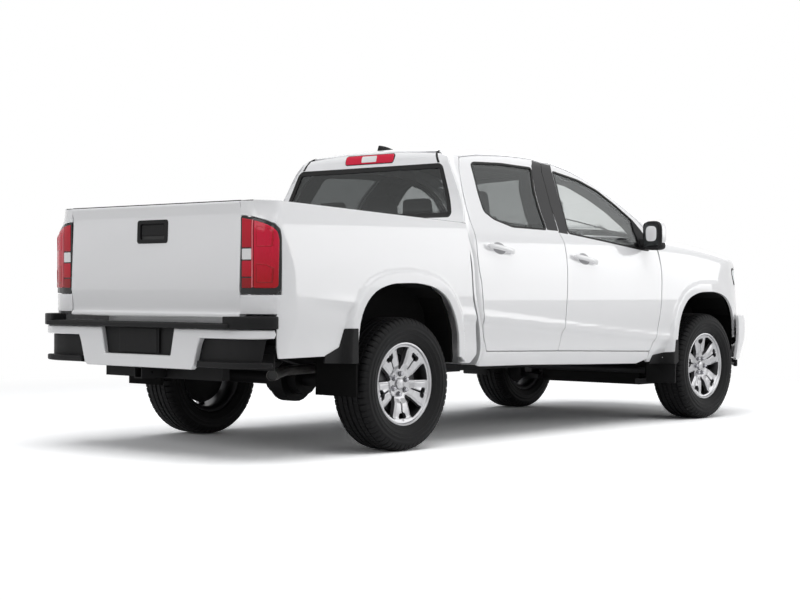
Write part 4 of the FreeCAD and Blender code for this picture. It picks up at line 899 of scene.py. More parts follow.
# Corners of the bed and the tail lamps set into them
CORNER_REACH = 200.0
corner_skin = Skin(bed_form, "corner", 20, 600, (-2400.0, 700.0), CORNER_REACH)


def corner_outline(points):
    """Plan place along the corner from the rear face to the side, with height."""
    return np.array([(turn * math.pi / 180 * CORNER_REACH, z) for turn, z in points], float)


for side, mirror in SIDES:
    slab("bed_corner_low_" + side, corner_skin, corner_outline([(-1, 767), (73.5, 767), (73.5, 865), (-1, 865)]),
        PAINT, depth=12, spacing=20, lift=-0.4, hem=1.5, mirror=mirror)
    slab("bed_corner_top_" + side, corner_skin, corner_outline([(-1, 1273), (10, 1272.5), (30, 1265), (50, 1249),
        (62, 1231), (69, 1204), (73.5, 1165), (73.5, 1346), (-1, 1348)]), PAINT, depth=12, spacing=20, lift=-0.4,
        hem=1.5, mirror=mirror)
    shape = rounded(corner_outline([(-0.5, 868), (30, 868), (60, 869), (70.5, 884), (72, 1000), (71.5, 1150),
        (69, 1200), (62, 1227), (50, 1245), (30, 1261), (10, 1269), (-0.5, 1271)]), 14)
    lamp = slab("lamp_housing_" + side, corner_skin, shape, GLOSS_BLACK, depth=10, spacing=16, lift=1.0, hem=3,
        mirror=mirror)
    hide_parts("rear_lamps")
    outer = rounded(corner_outline([(30.5, 900), (62.5, 900), (66.5, 912), (67.8, 1145), (65.5, 1185), (59, 1212),
        (48, 1230), (38, 1240), (30.5, 1246)]), 10)
    slab("lamp_bar_" + side, corner_skin, rounded(corner_outline([(27, 902), (29.6, 902), (29.6, 1248), (27, 1250)]),
        2), LIGHT_BAR, depth=7, spacing=12, lift=6.5, hem=2, mirror=mirror)
    slab("lamp_outer_" + side, corner_skin, outer, RED_LENS, depth=8, spacing=14, lift=5.0, hem=4.5, mirror=mirror)
    for part, low, high in (("high", 1110, 1212), ("low", 925, 1020)):
        pocket_shape = rounded(corner_outline([(35, low), (60, low), (61, high - 16), (52, high), (35, high + 8)]), 8)
        slab("lamp_pocket_%s_%s" % (part, side), corner_skin, pocket_shape, DEEP_RED, depth=6, spacing=10, lift=6.2,
            hem=3, holes=[moved(pocket_shape, -7)], mirror=mirror)
    for part, low, high, finish in (("top", 1108, 1260, DEEP_RED), ("reverse", 1046, 1102, WHITE_LENS),
                                    ("middle", 958, 1040, RED_LENS), ("low", 900, 952, DEEP_RED)):
        slab("lamp_%s_%s" % (part, side), corner_skin, rounded(corner_outline([(3.5, low), (26, low),
            (26, high - (10 if part == "top" else 0)), (3.5, high)]), 6), finish, depth=6, spacing=12, lift=3.6,
            hem=2.5, mirror=mirror)

brake = rectangle(-200, 200, 1684, 1738, 16)
slab("brake_lamp_housing", cab_end, moved(brake, 5), GLOSS_BLACK, depth=8, spacing=20, lift=1.5, hem=2)
slab("brake_lamp", cab_end, brake, RED_LENS, depth=8, spacing=14, lift=6.0, hem=5)
slab("cargo_lamp", cab_end, rectangle(-62, 62, 1692, 1730, 8), WHITE_LENS, depth=4, spacing=12, lift=7.6, hem=2)

# Tailgate with its lip, crease and pull handle
GATE_PROFILE = [(-2556, 746), (-2560, 750), (-2560.5, 762), (-2557, 768), (-2550, 772), (-2547, 778), (-2547, 796),
    (-2550.5, 830), (-2559, 876), (-2561.4, 885), (-2562, 894), (-2549, 1276), (-2547.6, 1283), (-2548.4, 1290),
    (-2559.6, 1328), (-2561.6, 1334), (-2562, 1338), (-2561.6, 1342), (-2559, 1346), (-2555, 1348.5), (-2549, 1350),
    (-2515, 1350), (-2506, 1346), (-2502, 1338), (-2502, 780), (-2506, 768), (-2520, 754), (-2532, 746)]
GATE_TOP, GATE_TOP_HEIGHT = -2549.0, 1276.0
GATE_LEAN, GATE_RUN = 13.0, 382.0
gate_face = Skin(lambda x, y, z: GATE_TOP - (GATE_TOP_HEIGHT - z) * GATE_LEAN / GATE_RUN - x + 0 * y, "end", -2300,
    -2700)
gate = prism("gate", GATE_PROFILE, "side", -GATE_HALF, GATE_HALF, PAINT, "tailgate", bevel=0, sharp=28)
carve(gate, prism("cutter", rectangle(-101, 101, 1160, 1249, 12), "end", -2620, -2539, BLACK, "tailgate", bevel=0))
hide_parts("tailgate")
slab("gate_bezel", gate_face, rectangle(-126, 126, 1141, 1268, 18), BLACK, "tailgate", depth=23,
    holes=[rectangle(-99, 99, 1162, 1247, 12)], spacing=14, lift=5, hem=4)
# Dark plate in the handle recess: painted shade
slab("gate_recess", gate_face, rectangle(-103, 103, 1158, 1251, 12), PAINTED_SHADE, "tailgate", depth=3, spacing=30, lift=-9)
slab("gate_pull", gate_face, rectangle(-95, 95, 1182, 1243, 10), BLACK, "tailgate", depth=6, spacing=16, lift=-1,
    hem=4)
prism("gate_cap", rectangle(-2556, -2504, 1347.5, 1353, 2), "side", -GATE_HALF + 2, GATE_HALF - 2, BLACK, "tailgate",
    bevel=1)

# Rear bumper, its plate recess, corner steps and top step
bumper_face = cubic([(0, -2660), (560, -2660), (700, -2658), (790, -2642), (850, -2611), (890, -2568), (911, -2515),
    (930, -2440)])


def bumper_form(x, y, z):
    return round_max(bumper_face(np.abs(y)) - x, np.abs(y) - 914.0 + 0 * z, 16.0)


bumper_skin = Skin(bumper_form, "corner", 20, 1500, (-1900.0, 0.0), 760.0)


def bumper_outline(points):
    spots = [(float(bumper_face(abs(y))), y, z) for y, z in points]
    return bumper_skin.flatten(np.array(spots, float))


half_bumper = [(300, 690), (560, 690), (700, 690), (790, 689), (850, 688), (890, 687), (911, 686), (914, 664),
    (911, 643), (890, 641), (850, 640), (790, 640), (700, 640), (502, 640), (484, 600), (452, 492), (430, 475)]
whole = half_bumper + signed(half_bumper[::-1], -1) + [(-270, 545), (270, 545)]
shell = slab("bumper_shell", bumper_skin, bumper_outline(whole), PAINT, depth=34, spacing=22, hem=9)
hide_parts("rear_bumper")
slab("plate_recess", bumper_skin, bumper_outline([(-320, 535), (320, 535), (330, 692), (-330, 692)]), BLACK, depth=14,
    spacing=40, lift=-26)
slab("plate_holder", bumper_skin, rounded(bumper_outline([(-166, 552), (166, 552), (166, 690), (-166, 690)]), 8),
    BLACK, depth=6, spacing=30, lift=-14, hem=3)
slab("blank_plate", bumper_skin, rounded(bumper_outline([(-152, 557), (152, 557), (152, 684), (-152, 684)]), 8),
    STEEL, depth=4, spacing=30, lift=-11, hem=1.5)
for side, sign in SIGNS:
    foot = bumper_outline(signed([(470, 490), (600, 489), (700, 489), (790, 490), (850, 491), (890, 492), (909, 494),
        (909, 518), (890, 521), (850, 522), (790, 523), (700, 523), (600, 523), (480, 523)], sign))
    step = slab("corner_step_" + side, bumper_skin, foot, BLACK, depth=60, spacing=20, lift=-1, hem=8)
    back = bumper_outline(signed([(455, 505), (600, 505), (700, 505), (790, 505), (850, 505), (886, 505), (900, 640),
        (850, 645), (790, 645), (700, 645), (600, 645), (500, 645)], sign))
    slab("corner_pocket_" + side, bumper_skin, back, BLACK, depth=14, spacing=26, lift=-36)
    if sign > 0:
        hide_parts("bumper_corners")
    pad = np.array([(-2694, 700), (-2680, 765), (-2640, 838), (-2575, 898), (-2530, 921), (-2495, 922), (-2496, 862),
        (-2545, 820), (-2580, 760), (-2588, 700)], float) * np.array([1, sign])
    prism("corner_pad_" + side, rounded(pad, 16), "top", 691, 755, BLACK, bevel=9, segments=4)
for side, mirror in SIDES:
    prism("bumper_shield_" + side, rectangle(520, 866, 477, 560, 6), "end", -2478, -2472, STEEL, bevel=1,
        mirror=mirror)
tread = [(-2701, -748), (-2701, 748), (-2577, 748), (-2577, -748)]
top_step = prism("top_step", rounded(tread, 14), "top", 691, 717, BLACK, bevel=6, segments=3)
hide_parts("rear_step")
TREAD_RIBS, TREAD_STEP = 6, 17
for number in range(TREAD_RIBS):
    x = -2690 + number * TREAD_STEP
    prism("tread_rib_%d" % number, rectangle(x, x + 7, -690, 690, 3), "top", 716, 720, BLACK, bevel=1.2)

# Wheels: tyre with tread and sidewall rings, split-spoke face, barrel, disc and nuts
WHEEL_MIDDLE = REAR_AXLE[1]
SPOKES = 5
SHOULDER_BLOCKS = 61.333
TREAD_CUTS = 92


def dish(r):
    return np.interp(r, [0, 42, 62, 84, 110, 160, 205, 218, 226, 234], [57, 57, 57, 60, 76, 84, 88, 90, 96, 99])


def spoke_half(r):
    return 41.5 + 0.29 * (r - 80.0)


def wheel_form(axle, phase):
    def form(x, y, z):
        dx, dz = x - axle[0], z - axle[2]
        r = np.hypot(dx, dz)
        turn = np.arctan2(dz, dx) - phase
        part = 2 * math.pi / SPOKES
        local = (turn + part / 2) % part - part / 2
        across_spoke = r * np.sin(local)
        groove = 7.0 * (1 - ramp(np.abs(across_spoke), 1.5, 7.0)) * ramp(r, 84, 104) * (1 - ramp(r, 196, 210))
        groove = groove + 4.0 * ramp(np.abs(across_spoke), 5.0, 26.0) * ramp(r, 110, 190) * (1 - ramp(r, 190, 206))
        width = spoke_half(np.clip(r, 80, 217))
        edge = 6.0 * ramp(np.abs(across_spoke), width - 15, width) * ramp(r, 76, 100) * (1 - ramp(r, 196, 210))
        return y - (WHEEL_MIDDLE + dish(r) - groove - edge)
    return form


def wheel_windows(axle, phase):
    holes = []
    part = 2 * math.pi / SPOKES
    for number in range(SPOKES):
        start = phase + number * part
        near = [(r, start + math.asin(spoke_half(r) / r)) for r in (82, 100, 130, 165, 206)]
        far = [(r, start + part - math.asin(spoke_half(r) / r)) for r in (206, 165, 130, 100, 82)]
        rim = [(206, near[-1][1] + (far[0][1] - near[-1][1]) * k / 8) for k in range(1, 8)]
        shape = np.array([(axle[0] + r * math.cos(a), axle[2] + r * math.sin(a)) for r, a in near + rim + far])
        holes.append(rounded(shape, 7))
        slot = [(100, -1.5), (158, -1.8), (162, -12), (166, -25), (186, -32), (193, -26), (193, 26), (186, 32),
            (166, 25), (162, 12), (158, 1.8), (100, 1.5)]
        spot = np.array([(axle[0] + r * math.cos(start) - s * math.sin(start),
            axle[2] + r * math.sin(start) + s * math.cos(start)) for r, s in slot])
        holes.append(rounded(spot, 6))
    return holes


def tyre_wave(r, y, angles):
    """Shoulder blocks and cross cuts in the tread."""
    out = np.zeros_like(angles)
    side = 1 if y > 0 else -1
    if r > 340 and abs(y) > 80:
        pattern = (angles * SHOULDER_BLOCKS / (2 * math.pi) + 0.25 * side) % 1.0
        out -= 8.0 * (pattern < 0.2)
    elif r > 366:
        pattern = (angles * TREAD_CUTS / (2 * math.pi) + y * 0.02) % 1.0
        out -= 5.0 * (pattern < 0.13) * (1 if 42 < abs(y) < 72 or abs(y) < 26 else 0)
    return out


half_tread = [(234, 99), (239, 105), (247, 110), (252, 112.5), (254, 114.4), (258, 114.6), (260, 116), (275, 121.6),
    (277, 123.3), (281, 124.2), (283, 122.6), (292, 124.2), (297, 124.9), (299, 127.2), (305, 127.4), (307.5, 125.2),
    (320, 124.2), (323, 125.6), (330, 124.5), (333, 122.4), (341, 120), (350, 116), (356, 112), (361.5, 106.5),
    (366, 99), (368.4, 92), (369.6, 84), (369.8, 80.5), (361, 79), (361, 73.5), (370.2, 72), (370.9, 58), (371.3, 42),
    (362, 40.5), (362, 34), (371.5, 32.5), (371.9, 16), (372, 7), (363, 5.5)]
tyre_profile = half_tread + [(r, -y) for r, y in half_tread[::-1]]
PHASES = {"rear": math.radians(54), "front": math.radians(28)}

# Turned parts of a wheel: name, finish, sides, and the profile on the left
TURNED = (
    ("lip_", ALLOY, 128, [(233, 86), (233.5, 96), (231, 100), (226, 101), (221, 98), (217.5, 91), (214.5, 84)]),
    # The barrel's dark is painted shade; the real barrel is silver
    ("barrel_", DARK_ALLOY_AND_SHADE, 128, [(214.5, 84), (208, 62), (203, 30), (201, -20), (203, -70), (212, -86), (220, -92),
                                  (232, -96), (233, -104)]),
    ("disc_", DARK_ALLOY_AND_SHADE, 96, [(58, -2), (60, 30), (158, 30), (162, 27), (162, 6), (158, 3), (90, 3), (60, -2)]),
    ("shield_", STEEL, 64, [(20, 2), (150, 2), (176, -6), (178, -10), (150, -14), (40, -60), (20, -60)]),
    ("cap_", ALLOY, 64, [(0.5, 72), (14, 71.6), (24, 70), (30, 66.5), (32, 62), (32.5, 56), (36, 55.5), (37, 50)]),
)
NUT_PARTS = (
    # The dark ring is painted shade of the pocket round the nut
    ("nut_seat", NUT_POCKET_SHADE, [(12.5, 58), (16.5, 58), (17.5, 57.6), (18, 56)]),
    ("nut", NUT, [(0.5, 80), (5, 79.2), (9.5, 76), (11.6, 71), (12, 65), (13.2, 63), (13.4, 56)]),
)
NUTS = 6
NUT_REACH = 58
for place, axle in (("rear", REAR_AXLE), ("front", FRONT_AXLE)):
    for side, mirror in SIDES:
        body = "wheel_%s_%s" % (place, side)
        centre = (axle[0], -WHEEL_MIDDLE if mirror else WHEEL_MIDDLE, axle[2])
        phase = PHASES[place]
        tread = lathe("tread_" + body, tyre_profile, centre, RUBBER, body, sides=368, sharp=40, wave=tyre_wave,
            mirror=mirror)
        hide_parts("tyre_%s_%s" % (place, side))
        wheel_skin = Skin(wheel_form(axle, phase), "side", 500, 1100)
        face = slab("spokes_" + body, wheel_skin, circle_points((axle[0], axle[2]), 219, 96), ALLOY, body,
            holes=wheel_windows(axle, phase), depth=26, spacing=6.5, hem=2.0, step=5, mirror=mirror)
        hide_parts("rim_%s_%s" % (place, side))
        for name, finish, sides, profile in TURNED:
            lathe(name + body, profile, centre, finish, body, sides=sides, mirror=mirror)
        for number in range(NUTS):
            angle = phase + math.radians(30 + 360 / NUTS * number)
            spot = (centre[0] + NUT_REACH * math.cos(angle), centre[1], centre[2] + NUT_REACH * math.sin(angle))
            for name, finish, profile in NUT_PARTS:
                lathe("%s_%d_%s" % (name, number, body), profile, spot, finish, body, sides=24, mirror=mirror)

# Mirrors and antenna
POD_ROWS, POD_SIDES = 20, 28


def pod(name, centre, half, finish, body, squareness, mirror):
    """Rounded box with softly crowned sides."""
    def power(value):
        return math.copysign(abs(value) ** (2 / squareness), value)

    around = [2 * math.pi * k / POD_SIDES for k in range(POD_SIDES)]
    rows = []
    for i in range(POD_ROWS + 1):
        v = -math.pi / 2 + math.pi * i / POD_ROWS
        cv, sv = power(math.cos(v)), power(math.sin(v))
        rows.append([(centre[0] + half[0] * sv, centre[1] + half[1] * cv * power(math.cos(u)),
            centre[2] + half[2] * cv * power(math.sin(u))) for u in around])
    return loft(name, rows, finish, body, sharp=80, mirror=mirror)


for side, mirror in SIDES:
    body = "door_front_" + side
    shell = pod("mirror_shell_" + side, (906, 996, 1268), (19, 70, 97), BLACK, body, 3.6, mirror)
    pod("mirror_scoop_" + side, (936, 995, 1202), (50, 68.5, 31), BLACK, body, 3.0, mirror)
    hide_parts("mirror_" + side)
    pod("mirror_cap_" + side, (936, 996, 1280), (54, 69.5, 85), PAINT, body, 3.4, mirror)
    glass_plane = Skin(lambda x, y, z: 884.0 - x + 0 * y, "end", 1000, 700)
    slab("mirror_glass_" + side, glass_plane, rectangle(938, 1054, 1188, 1350, 26), MIRROR, body, depth=4, spacing=30,
        lift=-1, hem=1.5, mirror=mirror)
    slab("mirror_rim_" + side, glass_plane, rectangle(934, 1058, 1183, 1355, 30), BLACK, body, depth=12, spacing=20,
        holes=[rectangle(940, 1052, 1190, 1348, 26)], lift=2, hem=2, mirror=mirror)
    arm = [(908, 1192), (985, 1184), (980, 1240), (930, 1256)]
    prism("mirror_arm_" + side, rounded(arm, 18), "side", 858, 942, BLACK, body, bevel=9, mirror=mirror, segments=4)
    slab("mirror_sail_" + side, cab_side, rounded(SAIL, 10), BLACK, body, depth=8, spacing=20, lift=1.4, hem=2,
        mirror=mirror)

fin_rows = []
for share in np.linspace(0, 1, 24):
    x = -723 + 175 * share
    top = 1806 - 34 * share ** 2.6 - 24 * max(0.0, (0.06 - share) / 0.06) ** 2
    base = float(roof_line(x)) - 3
    half = 17 * math.sin(math.pi * min(max(share, 0.03), 0.97)) ** 0.5
    fin_rows.append([(x, half * math.cos(a), base + (top - base) * abs(math.sin(a)) ** 0.8)
                     for a in np.linspace(0, math.pi, 17)])
fin = loft("antenna_fin", fin_rows, BLACK, close_row=False, caps=True, sharp=60)
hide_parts("roof_antenna")

# Cabin: floor, firewall, carpet, headliner, pillar linings, padded seats, fascia and steering wheel
prism("floor_pan", [(-800, 452), (-800, 640), (-770, 700), (-760, 575), (1200, 575), (1290, 700), (1290, 1160),
    (1300, 1160), (1302, 690), (1215, 452)], "side", -738, 738, STEEL, bevel=6)
prism("carpet", rectangle(-758, 1205, -735, 735, 30), "top", 575.5, 583, CARPET, bevel=3)
lining_outline = [(-735, -505), (505, -505), (560, -440), (600, -250), (612, 0), (600, 250), (560, 440), (505, 505),
    (-735, 505), (-750, 0)]
slab("headliner", cab_top, rounded(lining_outline, 30), HEADLINER, depth=10, spacing=60, lift=-26, hem=6)
back_inner = [(-640, 640), (-700, 800), (-800, 1000), (-800, 1250), (-738, 1322), (738, 1322), (800, 1250),
    (800, 1000), (700, 800), (640, 640)]
slab("back_trim", cab_end, rounded(back_inner, 30), TRIM, depth=10, spacing=60, lift=-24, hem=6)
for side, mirror in SIDES:
    post = [(-40, 560), (110, 560), (120, 900), (96, 1230), (90, 1270), (190, 1640), (235, 1705), (60, 1712),
        (-20, 1600), (-75, 1430), (-88, 1260), (-60, 900)]
    slab("door_post_" + side, cab_side, rounded(post, 20), TRIM, depth=24, spacing=50, lift=-104, hem=8,
        mirror=mirror)
    sill = [(-740, 455), (1060, 430), (1070, 560), (-745, 575)]
    slab("sill_" + side, cab_side, rounded(sill, 16), PAINT, depth=90, spacing=60, lift=-24, hem=6, mirror=mirror)
    edge = moved(DOORS, 16)[:DOOR_EDGE]
    inner_edge = moved(DOORS, -2)[:DOOR_EDGE]
    jamb = np.concatenate([edge[4:24], inner_edge[23:3:-1]])
    slab("jamb_" + side, cab_side, jamb, PAINT, depth=60, spacing=60, lift=-20, hem=2, step=26, mirror=mirror)
    pillar = [(1105, 470), (1290, 470), (1290, 1140), (1170, 1150), (1140, 1080), (1150, 900), (1120, 640)]
    slab("hinge_post_" + side, cab_side, rounded(pillar, 20), PAINT, depth=70, spacing=60, lift=-30, hem=4,
        mirror=mirror)
    # Dark sheet behind the gap between cab and bed: painted shade
    gap = np.concatenate([np.stack([cab_back(np.linspace(460, 1270, 12)) + 16, np.linspace(460, 1270, 12)], axis=1),
        [(-962, 1276), (-952, 1069), (-934, 843), (-890, 700), (-862, 520), (-870, 462)]])
    slab("body_gap_" + side, bed_side, gap, PAINTED_SHADE, depth=10, spacing=40, lift=-34, hem=1, mirror=mirror)


def cushion(name, outline, low, high, crown, rows=26, channels=0, mirror=False):
    """Padded form: an outline in side view carried across, crowned in the middle and drawn in at the ends."""
    loop = resample(rounded(outline, 34), 18)
    if area(loop) < 0:
        loop = loop[::-1]
    away = outward(loop)
    sections = []
    for k in range(rows + 1):
        t = 2 * (k / rows) - 1
        y = (low + high) / 2 + (high - low) / 2 * math.sin(t * math.pi / 2)
        swell = crown * (1 - t * t) - 12 * (1 - (1 - abs(t) ** 5))
        if channels:
            swell -= 7.0 * (1 - abs(math.sin(math.pi * channels * (y - low) / (high - low)))) ** 4
        section = loop + away * (swell - 14 * abs(t) ** 7)
        sections.append(np.stack([section[:, 0], np.full(len(loop), y), section[:, 1]], axis=1))
    thing = loft(name, sections, FABRIC, caps=True, sharp=75, mirror=mirror)
    return thing


SEAT_BASE = [(5, 650), (455, 705), (468, 790), (425, 822), (250, 812), (60, 782), (-20, 745)]
SEAT_BACK = [(-70, 690), (30, 770), (45, 830), (0, 960), (-70, 1160), (-135, 1310), (-190, 1338), (-240, 1320),
    (-235, 1240), (-170, 950), (-110, 720)]
HEAD_PAD = [(-282, 1378), (-270, 1356), (-215, 1352), (-196, 1375), (-204, 1450), (-222, 1512), (-250, 1526),
    (-278, 1510), (-288, 1450)]
BENCH_BASE = [(-770, 710), (-345, 728), (-336, 800), (-352, 838), (-500, 838), (-680, 812), (-760, 790)]
BENCH_BACK = [(-815, 850), (-700, 830), (-690, 880), (-745, 1240), (-762, 1278), (-800, 1282), (-816, 1240)]
BENCH_HEAD = [(-786, 1318), (-778, 1296), (-738, 1292), (-722, 1312), (-728, 1400), (-742, 1446), (-764, 1456),
    (-782, 1442)]
for side, mirror in SIDES:
    name = "front_" + side
    seat = cushion("seat_base_" + name, SEAT_BASE, 145, 625, 10, channels=4, mirror=mirror)
    cushion("seat_back_" + name, SEAT_BACK, 150, 620, 10, channels=4, mirror=mirror)
    cushion("seat_head_" + name, HEAD_PAD, 278, 492, 4, rows=18, mirror=mirror)
    if side == "left":
        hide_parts("front_seats")
    for y in (338, 432):
        post = [(x, y + 6 * math.cos(a), z + 6 * math.sin(a)) for x, z in ((-226, 1330), (-238, 1372))
                for a in turns(12)]
        loft("head_post_%d_%s" % (y, name), np.array(post).reshape(2, 12, 3), CHROME, mirror=mirror)
    rail = [(10, 590), (390, 590), (400, 640), (380, 690), (20, 650)]
    prism("seat_rail_" + name, rounded(rail, 14), "side", 205, 565, TRIM, bevel=8, mirror=mirror)
    cushion("bench_head_" + side, BENCH_HEAD, 250, 462, 3, rows=18, mirror=mirror)
bench = cushion("bench_base", BENCH_BASE, -612, 612, 6, rows=60, channels=9)
cushion("bench_back", BENCH_BACK, -612, 612, 4, rows=60, channels=9)
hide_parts("rear_seat")
prism("bench_stand", rounded([(-755, 590), (-405, 590), (-400, 712), (-755, 700)], 12), "side", -555, 555, TRIM,
    bevel=8)

FASCIA = [(868, 770), (1226, 762), (1226, 1176), (1180, 1190), (1040, 1188), (905, 1168), (842, 1140), (800, 1095),
    (802, 1050), (826, 980), (836, 900), (850, 820)]
fascia = prism("fascia", rounded(FASCIA, 22), "side", -686, 686, TRIM, bevel=16, segments=4)
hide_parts("dashboard")
console = [(424, 590), (895, 590), (880, 760), (845, 860), (780, 800), (640, 762), (440, 768)]
prism("console", rounded(console, 26), "side", -105, 105, TRIM, bevel=14, segments=4)
screen_shape = [(798, 1000), (806, 1000), (822, 1130), (812, 1132)]
prism("centre_screen", screen_shape, "side", -125, 125, GLOSS_BLACK, bevel=3)
hood_shape = [(800, 1120), (905, 1150), (905, 1188), (850, 1192), (800, 1168)]
prism("cluster_hood", rounded(hood_shape, 16), "side", 235, 505, TRIM, bevel=10, segments=3)
STEERING_PLACE = (690, 370, 1060)
STEERING_TILT = math.radians(64)
STEERING_RADIUS = 182


def steering(name):
    """Rim, three spokes and a plain boss, all turned towards the driver."""
    centre = Vector(STEERING_PLACE)
    axis = Vector((-math.sin(STEERING_TILT), 0, math.cos(STEERING_TILT)))
    side = Vector((0, 1, 0))
    high = axis.cross(side)
    rows = []
    for k in range(73):
        turn = 2 * math.pi * k / 72
        spoke = side * math.cos(turn) + high * math.sin(turn)
        rows.append([centre + spoke * (STEERING_RADIUS + 14 * math.cos(a)) + axis * (13 * math.sin(a))
                     for a in turns(14)])
    rim = loft(name, rows, TRIM, "steering_wheel", sharp=80)
    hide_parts("steering_wheel")
    for number, (turn, width) in enumerate(((0, 34), (180, 34), (-90, 44))):
        a = math.radians(turn)
        spoke = side * math.cos(a) + high * math.sin(a)
        wide = axis.cross(spoke)
        rows = []
        for share in np.linspace(0.22, 0.97, 12):
            reach, half = STEERING_RADIUS * share, width * (1 - 0.35 * share)
            rows.append([centre + spoke * reach + wide * (half * math.cos(b))
                         + axis * (8 * math.sin(b) - 8 * (1 - share)) for b in turns(16)])
        loft("%s_spoke_%d" % (name, number), rows, TRIM, "steering_wheel", caps=True)
    rows = []
    for r, h in ((2, 16), (34, 15), (52, 10), (60, 0), (56, -12), (34, -26), (30, -38), (2, -38)):
        rows.append([centre + (side * math.cos(a) * 1.15 + high * math.sin(a)) * r + axis * h for a in turns(32)])
    loft(name + "_boss", rows, TRIM, "steering_wheel")


steering("wheel_rim")

# Guards behind the wheels, front flaps, and the open end of the tailpipe
for side, mirror in SIDES:
    guard = [(-1928, 688), (-2006, 688), (-2040, 590), (-2150, 548), (-2150, 508), (-1928, 500)]
    slab("rear_guard_" + side, bed_side, rounded(guard, 8), BLACK, depth=8, spacing=10, lift=4.5, hem=2, step=8,
        mirror=mirror)
    guard = [(1321, 567), (1294, 567), (1282, 486), (1106, 466), (1104, 406), (1302, 402), (1324, 420)]
    slab("front_guard_" + side, front_side, rounded(guard, 6), BLACK, depth=8, spacing=10, lift=4.5, hem=2, step=8,
        mirror=mirror)
    flap = rounded([(700, 268), (931, 268), (934, 428), (700, 428)], 12)
    prism("front_flap_" + side, flap, "end", 1303, 1315, BLACK, bevel=3, mirror=mirror)
pipe_end = Vector((-2387, -760, 448))
pipe_way = Vector((-237, -140, -12)).normalized()
pipe_side = pipe_way.cross(Vector((0, 0, 1))).normalized()
pipe_up = pipe_side.cross(pipe_way)


def pipe_rows(profile):
    return [[pipe_end + pipe_way * along + (pipe_side * math.cos(a) + pipe_up * math.sin(a)) * r for a in turns(32)]
        for along, r in profile]


loft("tailpipe_tip", pipe_rows([(-75, 30), (9, 30), (10, 29.2), (9.4, 27.8), (1.4, 27.4)]), PIPE)
# Near-black inside the pipe: painted shade
loft("tailpipe_bore", pipe_rows([(1.6, 27.6), (1.2, 14), (1.2, 0.5)]), PAINTED_SHADE)

# Cowl at the foot of the windscreen
foot = cab_front.meet(resample([(-734, 1244), (-380, 1300), (0, 1318), (380, 1300), (734, 1244)], 60, closed=False))
cowl = np.concatenate([foot[:, :2] - np.array([12, 0]), [(1150, 742), (1424, 742), (1424, -742), (1150, -742)]])
slab("cowl", front_top, cowl, BLACK, depth=14, spacing=50, lift=-16, hem=4)
for number, (start, end) in enumerate((((1395, 60), (1130, 560)), ((1405, -520), (1210, -60)))):
    line = np.array([np.array(start) + (np.array(end) - np.array(start)) * k / 12 for k in range(13)], float)
    spots = cab_top.meet(line)
    up = cab_top.normals(spots)
    rows = [[spot + n * (4 + 5 * math.sin(a)) + np.array([6 * math.cos(a), 2 * math.cos(a), 0]) for a in turns(8)]
        for spot, n in zip(spots, up)]
    loft("wiper_%d" % number, rows, BLACK, caps=True)

# Front end: bumper cover, valance, grille and headlamps
front_face = cubic([(0, 2698), (250, 2689), (480, 2661), (640, 2615), (770, 2527), (860, 2407), (900, 2318),
    (925, 2223), (940, 2150)])


def cover_form(x, y, z):
    bulge = 3.0 * np.exp(-((z - 560.0) / 90.0) ** 2) - 14.0 * ramp(z, 680.0, 728.0) - 12.0 * ramp(-z, -470.0, -390.0)
    sweep = 70.0 * ramp(600.0 - z, 0.0, 200.0) * ramp(np.abs(y), 560.0, 860.0)
    return x - (front_face(np.abs(y)) - 3.0 + bulge - sweep)


cover_skin = Skin(cover_form, "nose", 20, 1600, (1500.0, 0.0), 1000.0)


def cover_outline(points):
    return cover_skin.flatten(np.array([(float(front_face(abs(y))), y, z) for y, z in points], float))


edge_high = [(-933, 726), (-900, 727), (-860, 727), (-770, 727), (-640, 727), (-480, 727), (-250, 727), (0, 727)]
edge_low = [(y, 404) for y, _ in edge_high]
cover_points = across(edge_high) + across(edge_low, -1)
intake = rounded(cover_outline([(-430, 482), (430, 482), (410, 612), (-410, 612)]), 16)
fogs = [rounded(cover_outline([(s * 560, 500), (s * 700, 500), (s * 760, 560), (s * 740, 620), (s * 570, 604)]),
    16) for s in (1, -1)]
cover = slab("bumper_cover", cover_skin, cover_outline(cover_points), PAINT, holes=[intake] + fogs, depth=22,
    spacing=30, hem=6)
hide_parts("front_bumper")
slab("intake_mesh", cover_skin, moved(intake, 6), BLACK, depth=6, spacing=40, lift=-24)
INTAKE_BARS, INTAKE_STEP = 4, 29
for number in range(INTAKE_BARS):
    z = 500 + number * INTAKE_STEP
    slab("intake_bar_%d" % number, cover_skin, cover_outline([(-425, z), (425, z), (425, z + 9), (-425, z + 9)]),
        BLACK, depth=12, spacing=30, lift=-12, hem=2)
for number, fog in enumerate(fogs):
    slab("fog_pocket_%d" % number, cover_skin, moved(fog, 5), BLACK, depth=6, spacing=30, lift=-24)
    middle_point = fog.mean(axis=0)
    slab("fog_lamp_%d" % number, cover_skin, circle_points(middle_point, 38, 32), WHITE_LENS, depth=8, spacing=12,
        lift=-14, hem=4)
    slab("fog_rim_%d" % number, cover_skin, circle_points(middle_point, 46, 32), GLOSS_BLACK, depth=8, spacing=12,
        holes=[circle_points(middle_point, 37, 32)], lift=-11, hem=3)
low_edge = [(y * 0.974, 352) for y, _ in edge_high]
high_edge = [(y * 0.974, 401) for y, _ in edge_high]
valance_points = across(high_edge) + across(low_edge, -1)
valance = slab("chin", cover_skin, cover_outline(valance_points), BLACK, depth=26, spacing=40, lift=-14, hem=6)
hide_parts("front_valance")
grille_face = cubic([(-500, 2560), (-300, 2582), (0, 2590), (300, 2582), (500, 2560)])
grille_skin = Skin(lambda x, y, z: x - (grille_face(y) - 0.02 * (z - 728.0)), "end", 2300, 2700)
frame_edge = rounded([(-462, 734), (462, 734), (464, 1030), (-464, 1030)], 34)
surround = slab("grille_surround", grille_skin, frame_edge, GLOSS_BLACK, holes=[moved(frame_edge, -20)], depth=34,
    spacing=20, hem=5)
